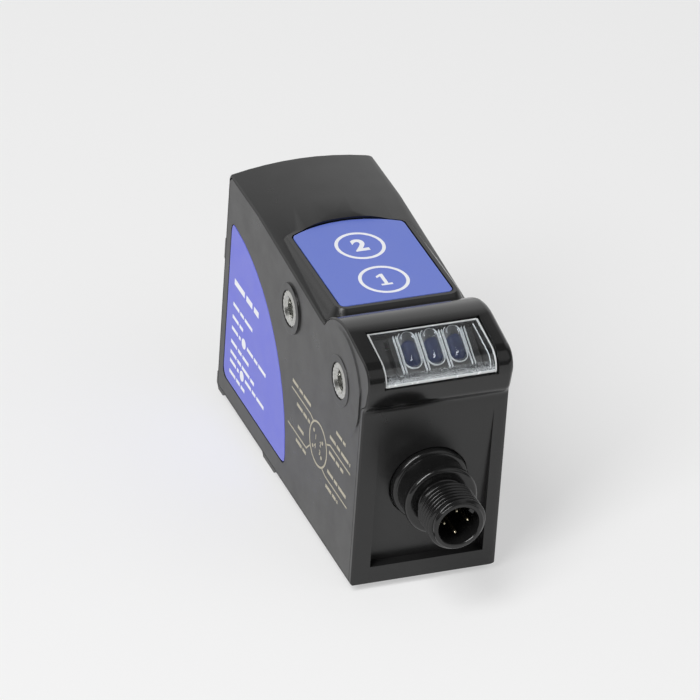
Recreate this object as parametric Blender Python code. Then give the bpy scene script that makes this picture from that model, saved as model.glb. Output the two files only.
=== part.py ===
"""Color mark sensor: a moulded housing with a keypad, an indicator window, an M12 plug and two lens ports.

The sensor stands on its feet. +X is its right side, +Y points from the plug to the lens port, +Z is up.
All the pieces hang on one empty, which puts the origin under the middle of the sensor.
"""

import math

import bmesh
import bpy
from mathutils import Matrix, Vector

MM = 0.001
FIT_GAP = 0.3 * MM
CUT_THROUGH = 1.0 * MM
SINK = 0.6 * MM

# Housing: lengths from the front wall, heights from the underside
BODY_WIDTH = 31.0 * MM
BODY_LENGTH = 78.8 * MM
REAR_HEIGHT = 50.8 * MM
LEVEL_LENGTH = 16.8 * MM
TOP_FALL = 2.9 * MM
TOP_CROWN = 1.75 * MM
REAR_LOW_RADIUS = 1.6 * MM
REAR_TOP_RADIUS = 0.7 * MM
RIGHT_EDGE_RADIUS = 1.4 * MM
BODY_EDGE_SHARE = 0.2
LEFT_EDGE_RADIUS = 0.3 * MM
WALL = 2.4 * MM
FRONT_WALL_DEPTH = 4.4 * MM
NOSE_WALL = 4.2 * MM

# Nose over the front wall, round about the front insert
NOSE_RADIUS = 12.7 * MM
NOSE_SLOPE = math.radians(10.7)
NOSE_CORNER_RADIUS = 4.5 * MM
NOSE_OVERHANG = 2.1 * MM
NOSE_LEAN = math.radians(10.4)
NOSE_LIP_DROP = 4.1 * MM
NOSE_LIP_FILLET = 1.3 * MM
NOSE_LIP_ROUND = 0.85 * MM

# Threaded inserts
INSERT_FRONT_Y = 12.7 * MM
INSERT_SPACING = 28.4 * MM
INSERT_HEIGHT = 40.7 * MM
INSERT_DIAMETER = 7.1 * MM
INSERT_LENGTH = 7.0 * MM
INSERT_HOLE_DIAMETER = 4.8 * MM
INSERT_GROOVE_DEPTH = 0.4 * MM
BOSS_DIAMETER = 10.7 * MM
BOSS_RISE = 0.4 * MM
BOSS_WALL = 1.0 * MM

# Side cover
COVER_FRONT_BAND = 1.5 * MM
COVER_LOW_BAND = 0.7 * MM
COVER_REAR_BAND = 0.8 * MM
COVER_TOP_BAND = 0.6 * MM
COVER_THICKNESS = 2.2 * MM
GASKET_THICKNESS = 0.6 * MM
GASKET_WIDTH = 1.0 * MM
EAR_RISE = 0.25 * MM
EAR_MARGIN = 0.4 * MM
SIDE_LABEL_RADIUS = 36.2 * MM
SIDE_LABEL_REAR_GAP = 3.2 * MM
SIDE_LABEL_LOW_GAP = 4.6 * MM
SIDE_LABEL_CORNER = 1.4 * MM
LABEL_THICKNESS = 0.35 * MM

# Keypad
KEYPAD_HEIGHT = 51.15 * MM
KEYPAD_SIDE_RIM = 3.5 * MM
KEYPAD_FRONT = 23.2 * MM
KEYPAD_LENGTH = 28.0 * MM
KEYPAD_SAG = 3.3 * MM
KEYPAD_CORNER = 1.1 * MM
KEYPAD_BORDER = 1.6 * MM
KEYPAD_FLANK = 1.5 * MM
KEYPAD_EDGE_RADIUS = 0.5 * MM
RELIEF_LENGTH = 7.9 * MM
RELIEF_RISE = 1.5 * MM
RELIEF_STEP = 0.55 * MM
RELIEF_START = 0.8
KEY_FRONT_Y = 30.8 * MM
KEY_SPACING = 13.5 * MM
KEY_CAP_DIAMETER = 9.0 * MM
KEY_CAP_THICKNESS = 1.0 * MM
KEY_STEM_DIAMETER = 4.6 * MM
KEY_STEM_LENGTH = 3.9 * MM
KEY_TRAVEL = 0.25 * MM
PLUNGER_DIAMETER = 3.0 * MM
PLUNGER_LENGTH = 2.0 * MM
SWITCH_SIZE = 6.0 * MM
SWITCH_HEIGHT = 3.4 * MM
SWITCH_RECESS = 1.4 * MM
BOARD_THICKNESS = 1.2 * MM
KEYPAD_BOARD_GAP = 1.4 * MM
KEYPAD_BOARD_OVERHANG = 7.6 * MM
KEYPAD_POST_DISTANCE = 5.5 * MM
POST_DIAMETER = 4.0 * MM
SCREW_DIAMETER = 2.0 * MM
SCREW_HEAD_DIAMETER = 3.6 * MM
SCREW_HEAD_HEIGHT = 1.2 * MM
SCREW_HEAD_CROWN = 0.6
SCREW_GRIP = 3.0 * MM

# Indicator window in the nose
WINDOW_SIDE_RIM = 3.4 * MM
WINDOW_END_INSET = 0.35 * MM
WINDOW_THICKNESS = 1.6 * MM
WINDOW_RECESS = 0.5 * MM
WINDOW_LEDGE = 1.0 * MM
GUIDE_PITCH = 5.1 * MM
GUIDE_LENS_WIDTH = 4.2 * MM
GUIDE_LENS_LENGTH = 8.2 * MM
GUIDE_LENS_RISE = 1.6 * MM
GUIDE_LENS_SKINS = 5
GUIDE_BASE_LENGTH = 9.6 * MM
GUIDE_BASE_THICKNESS = 1.4 * MM
GUIDE_MARGIN = 0.55 * MM
GUIDE_DEPTH = 1.2 * MM
LED_WIDTH = 2.0 * MM
LED_LENGTH = 3.2 * MM
LED_HEIGHT = 1.0 * MM
LED_SHOULDER = 0.6
LED_CROWN = 0.8
LED_BOARD_THICKNESS = 1.0 * MM

# Front panel and plug
PANEL_LEFT_RIM = 3.9 * MM
PANEL_RIGHT_RIM = 2.9 * MM
PANEL_LOW_RIM = 3.8 * MM
PANEL_TOP_GAP = 3.5 * MM
PANEL_DEPTH = 2.2 * MM
PANEL_CUT_FRONT = 0.2 * MM
PLUG_HEIGHT = 21.6 * MM
PLUG_FLANGE_DIAMETER = 16.2 * MM
PLUG_FLANGE_RISE = 0.8 * MM
PLUG_SEAT_DEPTH = 2.9 * MM
PLUG_NECK_DIAMETER = 14.4 * MM
PLUG_NECK_LENGTH = 4.3 * MM
PLUG_COLLAR_DIAMETER = 15.3 * MM
PLUG_COLLAR_LENGTH = 1.7 * MM
PLUG_GROOVE_DIAMETER = 10.6 * MM
PLUG_GROOVE_LENGTH = 0.9 * MM
PLUG_THREAD_DIAMETER = 12.0 * MM
PLUG_THREAD_LENGTH = 8.3 * MM
PLUG_CHAMFER = 0.5 * MM
PLUG_TAIL_DIAMETER = 13.0 * MM
PLUG_TAIL_LENGTH = 9.0 * MM
PLUG_BORE_DIAMETER = 8.6 * MM
PLUG_BORE_DEPTH = 9.5 * MM
PLUG_KEY_HEIGHT = 0.8 * MM
PLUG_KEY_WIDTH = 1.3 * MM
PLUG_EDGE_RADIUS = 0.35 * MM
PIN_DIAMETER = 1.0 * MM
PIN_CIRCLE_DIAMETER = 5.0 * MM
PIN_SETBACK = 1.6 * MM
PIN_TAIL = 4.6 * MM
CARRIER_LENGTH = 8.5 * MM
SEAL_WIDTH = 0.9 * MM
SEAL_THICKNESS = 0.7 * MM
NUT_WIDTH = 17.0 * MM
NUT_THICKNESS = 3.0 * MM

# Lens ports and optics
PORT_DIAMETER = 16.0 * MM
PORT_SETBACK = 16.8 * MM
PORT_HEIGHT = 17.4 * MM
PORT_FLANGE_WIDTH = 1.2 * MM
PORT_FLANGE_THICKNESS = 0.8 * MM
BARREL_WALL = 1.5 * MM
BARREL_REACH = 5.0 * MM
LENS_EDGE = 1.6 * MM
LENS_BULGE = 1.0 * MM
LENS_SETBACK = 2.2 * MM
LENS_STEPS = 4
RETAINER_WIDTH = 1.1 * MM
RETAINER_THICKNESS = 1.0 * MM
PORT_SEAL_WIDTH = 0.8 * MM
PORT_SEAL_THICKNESS = 0.7 * MM
CAP_SLOT_WIDTH = 1.8 * MM
CAP_SLOT_DEPTH = 0.7 * MM
OPTICS_FRONT_REACH = 14.0 * MM
OPTICS_TOP_REACH = 13.0 * MM
OPTICS_BORE = 10.0 * MM
SPLITTER_THICKNESS = 1.0 * MM
SPLITTER_WIDTH = 11.0 * MM
SPLITTER_LENGTH = 13.0 * MM
EMITTER_BODY_HEIGHT = 3.0 * MM
EMITTER_BASE_WIDTH = 12.6 * MM
EMITTER_BASE_THICKNESS = 1.6 * MM
EMITTER_CROWN = 0.7

# Main board
MAIN_BOARD_SETBACK = 1.9 * MM
MAIN_BOARD_FRONT = 14.0 * MM
MAIN_BOARD_LENGTH = 33.0 * MM
MAIN_BOARD_LOW = 5.0 * MM
MAIN_BOARD_HEIGHT = 25.0 * MM
MAIN_BOARD_SCREW_INSET = 4.0 * MM
MAIN_SCREW_SPACING = 22.0 * MM
PROCESSOR_SIZE = 9.0 * MM
PROCESSOR_THICKNESS = 1.2 * MM

# Feet round the lens ports
FOOT_RISE = 1.6 * MM
FOOT_WIDTH = 3.4 * MM
FOOT_SIDE_GAP = 0.6 * MM
FOOT_CHAMFER = 1.2 * MM
REAR_FOOT_HEIGHT = 28.6 * MM
REAR_FOOT_LENGTH = 7.0 * MM
CORNER_FOOT_REACH = 3.4 * MM
LOW_FOOT_Y = 44.6 * MM
LOW_FOOT_LENGTH = 8.8 * MM

ROUND_STEPS = 32
INNER_ROUND_STEPS = 24
SMALL_ROUND_STEPS = 12
CROWN_STEPS = 8
ARC_STEPS = 6

HALF_WIDTH = BODY_WIDTH / 2
KEYPAD_WIDTH = BODY_WIDTH - 2 * KEYPAD_SIDE_RIM
WINDOW_WIDTH = BODY_WIDTH - 2 * WINDOW_SIDE_RIM
INSERT_PLACES = (INSERT_FRONT_Y, INSERT_FRONT_Y + INSERT_SPACING)
KEY_PLACES = (KEY_FRONT_Y, KEY_FRONT_Y + KEY_SPACING)
KEYPAD_FLOOR = KEYPAD_HEIGHT - LABEL_THICKNESS - FIT_GAP
PORT_Y = BODY_LENGTH - PORT_SETBACK
INSERT_END_X = HALF_WIDTH + BOSS_RISE - INSERT_LENGTH
KEYPAD_BOARD_HALF = INSERT_END_X - BOSS_WALL - KEYPAD_BOARD_GAP

# The outline's named corners, worked out from the driving dimensions
NOSE_NORMAL = Vector((-math.sin(NOSE_SLOPE), math.cos(NOSE_SLOPE)))
NOSE_DOWNHILL = Vector((-math.cos(NOSE_SLOPE), -math.sin(NOSE_SLOPE)))
NOSE_CENTRE = Vector((INSERT_FRONT_Y, INSERT_HEIGHT))
NOSE_CORNER_Y = NOSE_CORNER_RADIUS - NOSE_OVERHANG
NOSE_SLOPE_TOP = NOSE_CENTRE + NOSE_NORMAL * NOSE_RADIUS
NOSE_ROUND_Y = NOSE_SLOPE_TOP.x - NOSE_CORNER_RADIUS * NOSE_NORMAL.x
NOSE_SLOPE_RUN = (NOSE_ROUND_Y - NOSE_CORNER_Y) / math.cos(NOSE_SLOPE)
NOSE_CORNER_CENTRE = NOSE_SLOPE_TOP + NOSE_DOWNHILL * NOSE_SLOPE_RUN - NOSE_NORMAL * NOSE_CORNER_RADIUS
NOSE_FACE_NORMAL = Vector((-math.cos(NOSE_LEAN), -math.sin(NOSE_LEAN)))
NOSE_FACE_TOP = NOSE_CORNER_CENTRE + NOSE_FACE_NORMAL * NOSE_CORNER_RADIUS
NOSE_LIP_HEIGHT = NOSE_FACE_TOP.y - NOSE_LIP_DROP
WINDOW_MIDDLE = (NOSE_SLOPE_TOP + NOSE_FACE_TOP) / 2
WINDOW_CHORD = NOSE_SLOPE_TOP - NOSE_FACE_TOP
WINDOW_TILT = math.atan2(WINDOW_CHORD.y, WINDOW_CHORD.x)

# Stack of the plug, all along -Y from the panel
PLUG_SHOULDER = -PLUG_FLANGE_RISE
PLUG_COLLAR_BACK = PLUG_SHOULDER - PLUG_NECK_LENGTH
PLUG_COLLAR_FRONT = PLUG_COLLAR_BACK - PLUG_COLLAR_LENGTH
PLUG_THREAD_BACK = PLUG_COLLAR_FRONT - PLUG_GROOVE_LENGTH
PLUG_TIP = PLUG_THREAD_BACK - PLUG_THREAD_LENGTH
CARRIER_FACE = PLUG_TIP + PLUG_BORE_DEPTH

# Places that several sub-parts share
LEDGE_X = -HALF_WIDTH + COVER_THICKNESS + 2 * FIT_GAP + GASKET_THICKNESS
PORT_SEAT_DEPTH = PORT_SEAL_THICKNESS + 2 * FIT_GAP
PLUG_FLANGE_BACK = PLUG_SEAT_DEPTH - 2 * FIT_GAP - SEAL_THICKNESS
PLUNGER_LOW = KEYPAD_FLOOR - KEY_CAP_THICKNESS - KEY_STEM_LENGTH - FIT_GAP - PLUNGER_LENGTH
SWITCH_TOP = PLUNGER_LOW - KEY_TRAVEL - FIT_GAP + SWITCH_RECESS
KEYPAD_BOARD_TOP = SWITCH_TOP - SWITCH_HEIGHT - FIT_GAP
KEYPAD_POST_PLACES = (KEY_PLACES[0] - KEYPAD_POST_DISTANCE, KEY_PLACES[1] + KEYPAD_POST_DISTANCE)
GUIDE_TOP = -GUIDE_DEPTH - GUIDE_LENS_RISE
LED_BOARD_TOP = GUIDE_TOP - GUIDE_BASE_THICKNESS - FIT_GAP - LED_HEIGHT - FIT_GAP
LED_BOARD_LOW = LED_BOARD_TOP - LED_BOARD_THICKNESS
MAIN_BOARD_X = HALF_WIDTH - WALL - MAIN_BOARD_SETBACK - BOARD_THICKNESS
MAIN_POST_PLACES = tuple((MAIN_BOARD_FRONT + MAIN_BOARD_SCREW_INSET + offset,
                          MAIN_BOARD_LOW + MAIN_BOARD_HEIGHT / 2) for offset in (0.0, MAIN_SCREW_SPACING))
MAIN_SCREW_GRIP = MAIN_BOARD_SETBACK - 2 * FIT_GAP

LENGTH_OVERALL = BODY_LENGTH + FOOT_RISE - PLUG_TIP
ORIGIN_SHIFT = Vector((0.0, LENGTH_OVERALL / 2 - BODY_LENGTH - FOOT_RISE, FOOT_RISE))


def clear_scene():
    for old in list(bpy.data.objects):
        bpy.data.objects.remove(old, do_unlink=True)


def make_material(name, colour, roughness, metallic=0.0, alpha=1.0):
    material = bpy.data.materials.new(name)
    material.use_nodes = True
    shader = material.node_tree.nodes["Principled BSDF"]
    shader.inputs["Base Color"].default_value = (*colour, 1.0)
    shader.inputs["Roughness"].default_value = roughness
    shader.inputs["Metallic"].default_value = metallic
    shader.inputs["Alpha"].default_value = alpha
    return material


def make_origin():
    origin = bpy.data.objects.new("sensor_origin", None)
    origin.location = ORIGIN_SHIFT
    bpy.context.scene.collection.objects.link(origin)
    return origin


def add_object(name, bm, material, origin, location=(0.0, 0.0, 0.0), tilt=0.0):
    bmesh.ops.remove_doubles(bm, verts=bm.verts[:], dist=1e-7)
    bmesh.ops.recalc_face_normals(bm, faces=bm.faces[:])
    mesh = bpy.data.meshes.new(name)
    bm.to_mesh(mesh)
    bm.free()
    mesh.shade_smooth()
    mesh.set_sharp_from_angle(angle=math.radians(32))
    mesh.materials.append(material)
    obj = bpy.data.objects.new(name, mesh)
    obj.parent = origin
    obj.location = location
    obj.rotation_euler.x = tilt
    bpy.context.scene.collection.objects.link(obj)
    return obj


def add_helper(name, bm, origin, location=(0.0, 0.0, 0.0), tilt=0.0):
    helper = add_object(name, bm, bpy.data.materials["housing_plastic"], origin, location, tilt)
    helper.hide_render = True
    helper.display_type = "WIRE"
    return helper


def combine(obj, helper, operation):
    modifier = obj.modifiers.new(helper.name, "BOOLEAN")
    modifier.operation = operation
    modifier.solver = "EXACT"
    modifier.object = helper


# Shapes


def add_loft(bm, sections):
    """Closed skin through sections that have equal counts of points."""
    rings = [[bm.verts.new(point) for point in section] for section in sections]
    for near, far in zip(rings, rings[1:]):
        for here in range(len(near)):
            after = (here + 1) % len(near)
            bm.faces.new((near[here], near[after], far[after], far[here]))
    bm.faces.new(rings[0])
    bm.faces.new(rings[-1])


def add_side_prism(bm, outline, x_low, x_high):
    """Prism along X of an outline in Y and Z."""
    add_loft(bm, [[(x, y, z) for y, z in outline] for x in (x_low, x_high)])


def add_upright_prism(bm, low_outline, high_outline, z_low, z_high):
    """Prism or taper along Z between two outlines in X and Y."""
    low = [(x, y, z_low) for x, y in low_outline]
    high = [(x, y, z_high) for x, y in high_outline]
    add_loft(bm, [low, high])


def add_box(bm, low, high):
    size = Vector(high) - Vector(low)
    middle = (Vector(high) + Vector(low)) / 2
    matrix = Matrix.Translation(middle) @ Matrix.Diagonal((*size, 1.0))
    bmesh.ops.create_cube(bm, size=1.0, matrix=matrix)


def add_turned(bm, profile, axis, centre, steps=ROUND_STEPS):
    """Turn a closed profile of (radius, place along the axis) pairs about an axis through centre."""
    turn_about = {"X": Vector((1, 0, 0)), "Y": Vector((0, 1, 0)), "Z": Vector((0, 0, 1))}[axis]
    outward = {"X": Vector((0, 0, 1)), "Y": Vector((0, 0, 1)), "Z": Vector((1, 0, 0))}[axis]
    start = [Vector(centre) + outward * radius + turn_about * along for radius, along in profile]
    on_axis = [radius < 1e-9 for radius, along in profile]
    verts = [bm.verts.new(point) for point in start]
    closed = not (on_axis[0] and on_axis[-1])
    pairs = list(zip(verts, verts[1:])) + ([(verts[-1], verts[0])] if closed else [])
    edges = [bm.edges.new(pair) for pair in pairs]
    bmesh.ops.spin(bm, geom=verts + edges, cent=centre, axis=turn_about, angle=math.tau, steps=steps,
                   use_merge=True)
    bmesh.ops.remove_doubles(bm, verts=bm.verts[:], dist=1e-7)


def add_cylinder(bm, diameter, axis, centre, low, high, steps=ROUND_STEPS):
    radius = diameter / 2
    add_turned(bm, [(0.0, low), (radius, low), (radius, high), (0.0, high)], axis, centre, steps)


def add_ring(bm, inner_diameter, outer_diameter, axis, centre, low, high, steps=ROUND_STEPS):
    inner = inner_diameter / 2
    outer = outer_diameter / 2
    add_turned(bm, [(inner, low), (outer, low), (outer, high), (inner, high)], axis, centre, steps)


def arc_points(centre, radius, start, stop, steps):
    angles = [start + (stop - start) * step / steps for step in range(steps + 1)]
    return [(centre[0] + radius * math.cos(a), centre[1] + radius * math.sin(a)) for a in angles]


def rounded_corner(before, corner, after, reach, steps=3):
    """Points that round a corner of an outline, starting and ending at a distance of reach from it."""
    corner = Vector(corner)
    start = corner + (Vector(before) - corner).normalized() * reach
    end = corner + (Vector(after) - corner).normalized() * reach
    shares = [step / steps for step in range(steps + 1)]
    return [tuple(start * (1 - share) ** 2 + corner * 2 * share * (1 - share) + end * share ** 2) for share in shares]


def rounded_rectangle(width, length, corner):
    points = []
    for turn, (side, end) in enumerate(((1, 1), (-1, 1), (-1, -1), (1, -1))):
        centre = (side * (width / 2 - corner), end * (length / 2 - corner))
        points += arc_points(centre, corner, turn * math.pi / 2, (turn + 1) * math.pi / 2, ARC_STEPS // 2)
    return points


def side_top(y):
    """Height of the top's side edge at a distance from the front wall."""
    fall_length = BODY_LENGTH - LEVEL_LENGTH - INSERT_FRONT_Y - NOSE_RADIUS
    fallen = min(max((BODY_LENGTH - LEVEL_LENGTH - y) / fall_length, 0.0), 1.0)
    return REAR_HEIGHT - TOP_FALL * fallen


def side_outline(front=0.0, low=0.0, rear=0.0, top=0.0, nose=0.0):
    """Side view of the body as (y, z, crowned) points, each wall moved in by its own distance."""
    points = [(front, low, 0)]
    low_radius = max(REAR_LOW_RADIUS - low, REAR_LOW_RADIUS / 4)
    low_centre = (BODY_LENGTH - rear - low_radius, low + low_radius)
    points += [(y, z, 0) for y, z in arc_points(low_centre, low_radius, -math.pi / 2, 0.0, ARC_STEPS // 2)]
    points.append((BODY_LENGTH - rear, REAR_HEIGHT - top - REAR_TOP_RADIUS, 1))
    points.append((BODY_LENGTH - rear - REAR_TOP_RADIUS, REAR_HEIGHT - top, 1))
    points.append((BODY_LENGTH - LEVEL_LENGTH, REAR_HEIGHT - top, 1))
    nose_radius = NOSE_RADIUS - nose
    foot_y = INSERT_FRONT_Y + NOSE_RADIUS
    points.append((foot_y, side_top(foot_y) - top, 1))
    foot_angle = math.asin((side_top(foot_y) - top - INSERT_HEIGHT) / nose_radius)
    slope_angle = math.pi / 2 + NOSE_SLOPE
    ear = arc_points(NOSE_CENTRE, nose_radius, foot_angle, slope_angle, 2 * ARC_STEPS)
    face_angle = math.pi + NOSE_LEAN
    corner = arc_points(NOSE_CORNER_CENTRE, NOSE_CORNER_RADIUS - nose, slope_angle, face_angle, ARC_STEPS)
    points += [(y, z, 0) for y, z in ear + corner]
    face_downhill = Vector((math.sin(NOSE_LEAN), -math.cos(NOSE_LEAN)))
    lip = NOSE_FACE_TOP - NOSE_FACE_NORMAL * nose + face_downhill * NOSE_LIP_DROP + Vector((0.0, nose / 2))
    hollow = Vector((front, NOSE_LIP_HEIGHT - NOSE_LIP_FILLET + nose / 2))
    rolled = rounded_corner(corner[-1], lip, hollow, NOSE_LIP_ROUND)
    rolled += rounded_corner(lip, hollow, (front, low), NOSE_LIP_ROUND)
    points += [(y, z, 0) for y, z in rolled]
    return points


def crowned_section(x, outline):
    crown = TOP_CROWN * (1 - (x / HALF_WIDTH) ** 2)
    return [(x, y, z + crown * crowned) for y, z, crowned in outline]


def flat_outline(**insets):
    return [(y, z) for y, z, crowned in side_outline(**insets)]


def keypad_outline(grow):
    """Plan of the keypad: a straight front and sides, and a rear edge on an arc."""
    half = KEYPAD_WIDTH / 2
    radius = (half ** 2 + KEYPAD_SAG ** 2) / (2 * KEYPAD_SAG)
    centre_y = KEYPAD_FRONT + KEYPAD_LENGTH + KEYPAD_SAG - radius
    edge = half + grow
    corner = KEYPAD_CORNER + max(grow, 0.0)
    front = KEYPAD_FRONT - grow
    points = arc_points((-edge + corner, front + corner), corner, math.pi, 1.5 * math.pi, 3)
    points += arc_points((edge - corner, front + corner), corner, 1.5 * math.pi, 2 * math.pi, 3)
    reach = math.acos(edge / (radius + grow))
    trim = KEYPAD_CORNER / 2 / radius
    points.append((edge, centre_y + math.sin(reach) * (radius + grow) - KEYPAD_CORNER / 2))
    points += arc_points((0.0, centre_y), radius + grow, reach + trim, math.pi - reach - trim, 2 * ARC_STEPS)
    points.append((-edge, centre_y + math.sin(reach) * (radius + grow) - KEYPAD_CORNER / 2))
    return points


def nose_skin(offset, trim=0.0):
    """The indicator window's curve down the nose, moved outwards by offset and trimmed at both ends."""
    end = WINDOW_END_INSET + trim
    points = [NOSE_SLOPE_TOP + NOSE_DOWNHILL * end + NOSE_NORMAL * offset]
    slope_angle = math.pi / 2 + NOSE_SLOPE
    face_angle = math.pi + NOSE_LEAN - end / NOSE_CORNER_RADIUS
    turn = arc_points(NOSE_CORNER_CENTRE, NOSE_CORNER_RADIUS + offset, slope_angle, face_angle, ARC_STEPS)
    return [tuple(point) for point in points] + turn


def nose_strip(outer, inner, trim=0.0):
    return nose_skin(outer, trim) + nose_skin(inner, trim)[::-1]


# Housing


def add_foot(bm, outline):
    for side in (-1, 1):
        outer = side * (HALF_WIDTH - FOOT_SIDE_GAP)
        inner = side * (HALF_WIDTH - FOOT_SIDE_GAP - FOOT_WIDTH)
        add_side_prism(bm, outline, min(outer, inner), max(outer, inner))


def feet_shape():
    bm = bmesh.new()
    rear = BODY_LENGTH
    out = FOOT_RISE
    cut = FOOT_CHAMFER
    top = REAR_FOOT_HEIGHT + REAR_FOOT_LENGTH
    low = REAR_FOOT_HEIGHT
    add_foot(bm, [(rear - SINK, low), (rear, low), (rear + out, low + cut), (rear + out, top - cut),
                  (rear, top), (rear - SINK, top)])
    reach = CORNER_FOOT_REACH
    add_foot(bm, [(rear - reach, SINK), (rear - reach, 0.0), (rear - reach + cut, -out),
                  (rear + out - cut, -out), (rear + out, -out + cut), (rear + out, reach - cut), (rear, reach),
                  (rear - SINK, reach), (rear - REAR_LOW_RADIUS - SINK, REAR_LOW_RADIUS + SINK)])
    end = LOW_FOOT_Y + LOW_FOOT_LENGTH
    add_foot(bm, [(LOW_FOOT_Y, SINK), (LOW_FOOT_Y, 0.0), (LOW_FOOT_Y + cut, -out), (end - cut, -out),
                  (end, 0.0), (end, SINK)])
    return bm


def housing_body():
    sections = [(-HALF_WIDTH, LEFT_EDGE_RADIUS, LEFT_EDGE_RADIUS)]
    low_x = -HALF_WIDTH + LEFT_EDGE_RADIUS
    high_x = HALF_WIDTH - RIGHT_EDGE_RADIUS
    for step in range(CROWN_STEPS + 1):
        sections.append((low_x + (high_x - low_x) * step / CROWN_STEPS, 0.0, 0.0))
    for step in (1, 2, 3):
        angle = step * math.pi / 6
        inset = RIGHT_EDGE_RADIUS * (1 - math.cos(angle))
        sections.append((high_x + RIGHT_EDGE_RADIUS * math.sin(angle), inset * BODY_EDGE_SHARE, inset))
    bm = bmesh.new()
    skins = []
    for x, inset, nose in sections:
        outline = side_outline(front=inset, low=inset, rear=inset, top=inset, nose=nose)
        skins.append(crowned_section(x, outline))
    add_loft(bm, skins)
    return bm


def keypad_plateau():
    """Raised frame round the keypad, with sloping flanks that widen down to the body's side edges."""
    bm = bmesh.new()
    low = keypad_outline(KEYPAD_BORDER + KEYPAD_FLANK)
    middle = keypad_outline(KEYPAD_BORDER)
    high = keypad_outline(KEYPAD_BORDER - KEYPAD_EDGE_RADIUS)
    foot = side_top(INSERT_FRONT_Y + NOSE_RADIUS) - SINK
    shoulder = KEYPAD_HEIGHT - KEYPAD_EDGE_RADIUS
    add_loft(bm, [[(x, y, foot) for x, y in low], [(x, y, shoulder) for x, y in middle],
                  [(x, y, KEYPAD_HEIGHT) for x, y in high]])
    return bm


def keypad_recess():
    bm = bmesh.new()
    outline = keypad_outline(FIT_GAP)
    add_upright_prism(bm, outline, outline, KEYPAD_FLOOR, KEYPAD_HEIGHT + TOP_CROWN + CUT_THROUGH)
    return bm


def key_holes():
    bm = bmesh.new()
    for y in KEY_PLACES:
        hole = KEY_STEM_DIAMETER + 2 * FIT_GAP
        seat = KEY_CAP_DIAMETER + 2 * FIT_GAP
        seat_floor = KEYPAD_FLOOR - KEY_CAP_THICKNESS - KEY_TRAVEL - FIT_GAP
        low = REAR_HEIGHT / 2
        high = KEYPAD_FLOOR + SINK / 2
        add_turned(bm, [(0.0, low), (hole / 2, low), (hole / 2, seat_floor), (seat / 2, seat_floor),
                        (seat / 2, high), (0.0, high)], "Z", (0.0, y, 0.0), INNER_ROUND_STEPS)
    return bm


def keypad_relief():
    """Shallow slope behind the keypad, where the crowned top comes down to the keypad's rear edge."""
    bm = bmesh.new()
    low = keypad_outline(FIT_GAP)
    high = keypad_outline(RELIEF_LENGTH)
    z_low = KEYPAD_HEIGHT + RELIEF_STEP
    front = KEYPAD_FRONT + KEYPAD_LENGTH * RELIEF_START
    add_upright_prism(bm, [(x, max(y, front)) for x, y in low], [(x, max(y, front)) for x, y in high],
                      z_low, z_low + RELIEF_RISE)
    return bm


def boss_shape(side):
    """Raised face and inner sleeve for the threaded inserts of one side."""
    bm = bmesh.new()
    sleeve = INSERT_DIAMETER / 2 + FIT_GAP + BOSS_WALL
    end = HALF_WIDTH + BOSS_RISE - INSERT_LENGTH - FIT_GAP - BOSS_WALL
    root = HALF_WIDTH - SINK
    face = HALF_WIDTH + BOSS_RISE
    boss = BOSS_DIAMETER / 2
    profile = [(0.0, end), (sleeve, end), (sleeve, root), (boss, root), (boss, face), (0.0, face)]
    for y in INSERT_PLACES:
        add_turned(bm, [(radius, side * along) for radius, along in profile], "X", (0.0, y, INSERT_HEIGHT))
    return bm


def insert_holes(side):
    bm = bmesh.new()
    low = HALF_WIDTH + BOSS_RISE - INSERT_LENGTH - FIT_GAP
    high = HALF_WIDTH + BOSS_RISE + CUT_THROUGH
    for y in INSERT_PLACES:
        add_cylinder(bm, INSERT_DIAMETER + 2 * FIT_GAP, "X", (0.0, y, INSERT_HEIGHT), side * low, side * high)
    return bm


def cover_pocket():
    bm = bmesh.new()
    outline = flat_outline(front=COVER_FRONT_BAND - FIT_GAP, low=COVER_LOW_BAND - FIT_GAP,
                           rear=COVER_REAR_BAND - FIT_GAP, top=COVER_TOP_BAND - FIT_GAP,
                           nose=COVER_TOP_BAND - FIT_GAP)
    add_side_prism(bm, outline, -HALF_WIDTH - CUT_THROUGH, LEDGE_X)
    return bm


def cavity():
    bm = bmesh.new()
    outline = flat_outline(front=FRONT_WALL_DEPTH, low=WALL, rear=WALL, top=WALL, nose=NOSE_WALL)
    add_side_prism(bm, outline, LEDGE_X - SINK, HALF_WIDTH - WALL)
    return bm


def window_slot():
    bm = bmesh.new()
    depth = WINDOW_RECESS + WINDOW_THICKNESS + FIT_GAP
    add_side_prism(bm, nose_strip(CUT_THROUGH, -depth), -WINDOW_WIDTH / 2, WINDOW_WIDTH / 2)
    return bm


def indicator_chamber():
    """Room for the light guide and its board, square to the window's chord and open to its curved seat."""
    bm = bmesh.new()
    half_x = WINDOW_WIDTH / 2 - WINDOW_LEDGE
    half_y = WINDOW_CHORD.length / 2 - WINDOW_LEDGE
    square = Vector((-math.sin(WINDOW_TILT), math.cos(WINDOW_TILT)))
    seat = nose_skin(-WINDOW_RECESS - WINDOW_THICKNESS - FIT_GAP)
    seat_rise = max((Vector(point) - WINDOW_MIDDLE).dot(square) for point in seat)
    add_box(bm, (-half_x, -half_y, LED_BOARD_LOW - FIT_GAP), (half_x, half_y, seat_rise + FIT_GAP))
    return bm


def front_panel_cut():
    """Wedge that sinks the panel round the plug, deep at its foot and flush under the nose."""
    bm = bmesh.new()
    top = NOSE_LIP_HEIGHT - NOSE_LIP_FILLET - PANEL_TOP_GAP
    tip = top + PANEL_CUT_FRONT * (top - PANEL_LOW_RIM) / PANEL_DEPTH
    outline = [(-PANEL_CUT_FRONT, PANEL_LOW_RIM), (PANEL_DEPTH, PANEL_LOW_RIM), (-PANEL_CUT_FRONT, tip)]
    add_side_prism(bm, outline, -HALF_WIDTH + PANEL_LEFT_RIM, HALF_WIDTH - PANEL_RIGHT_RIM)
    return bm


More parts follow.
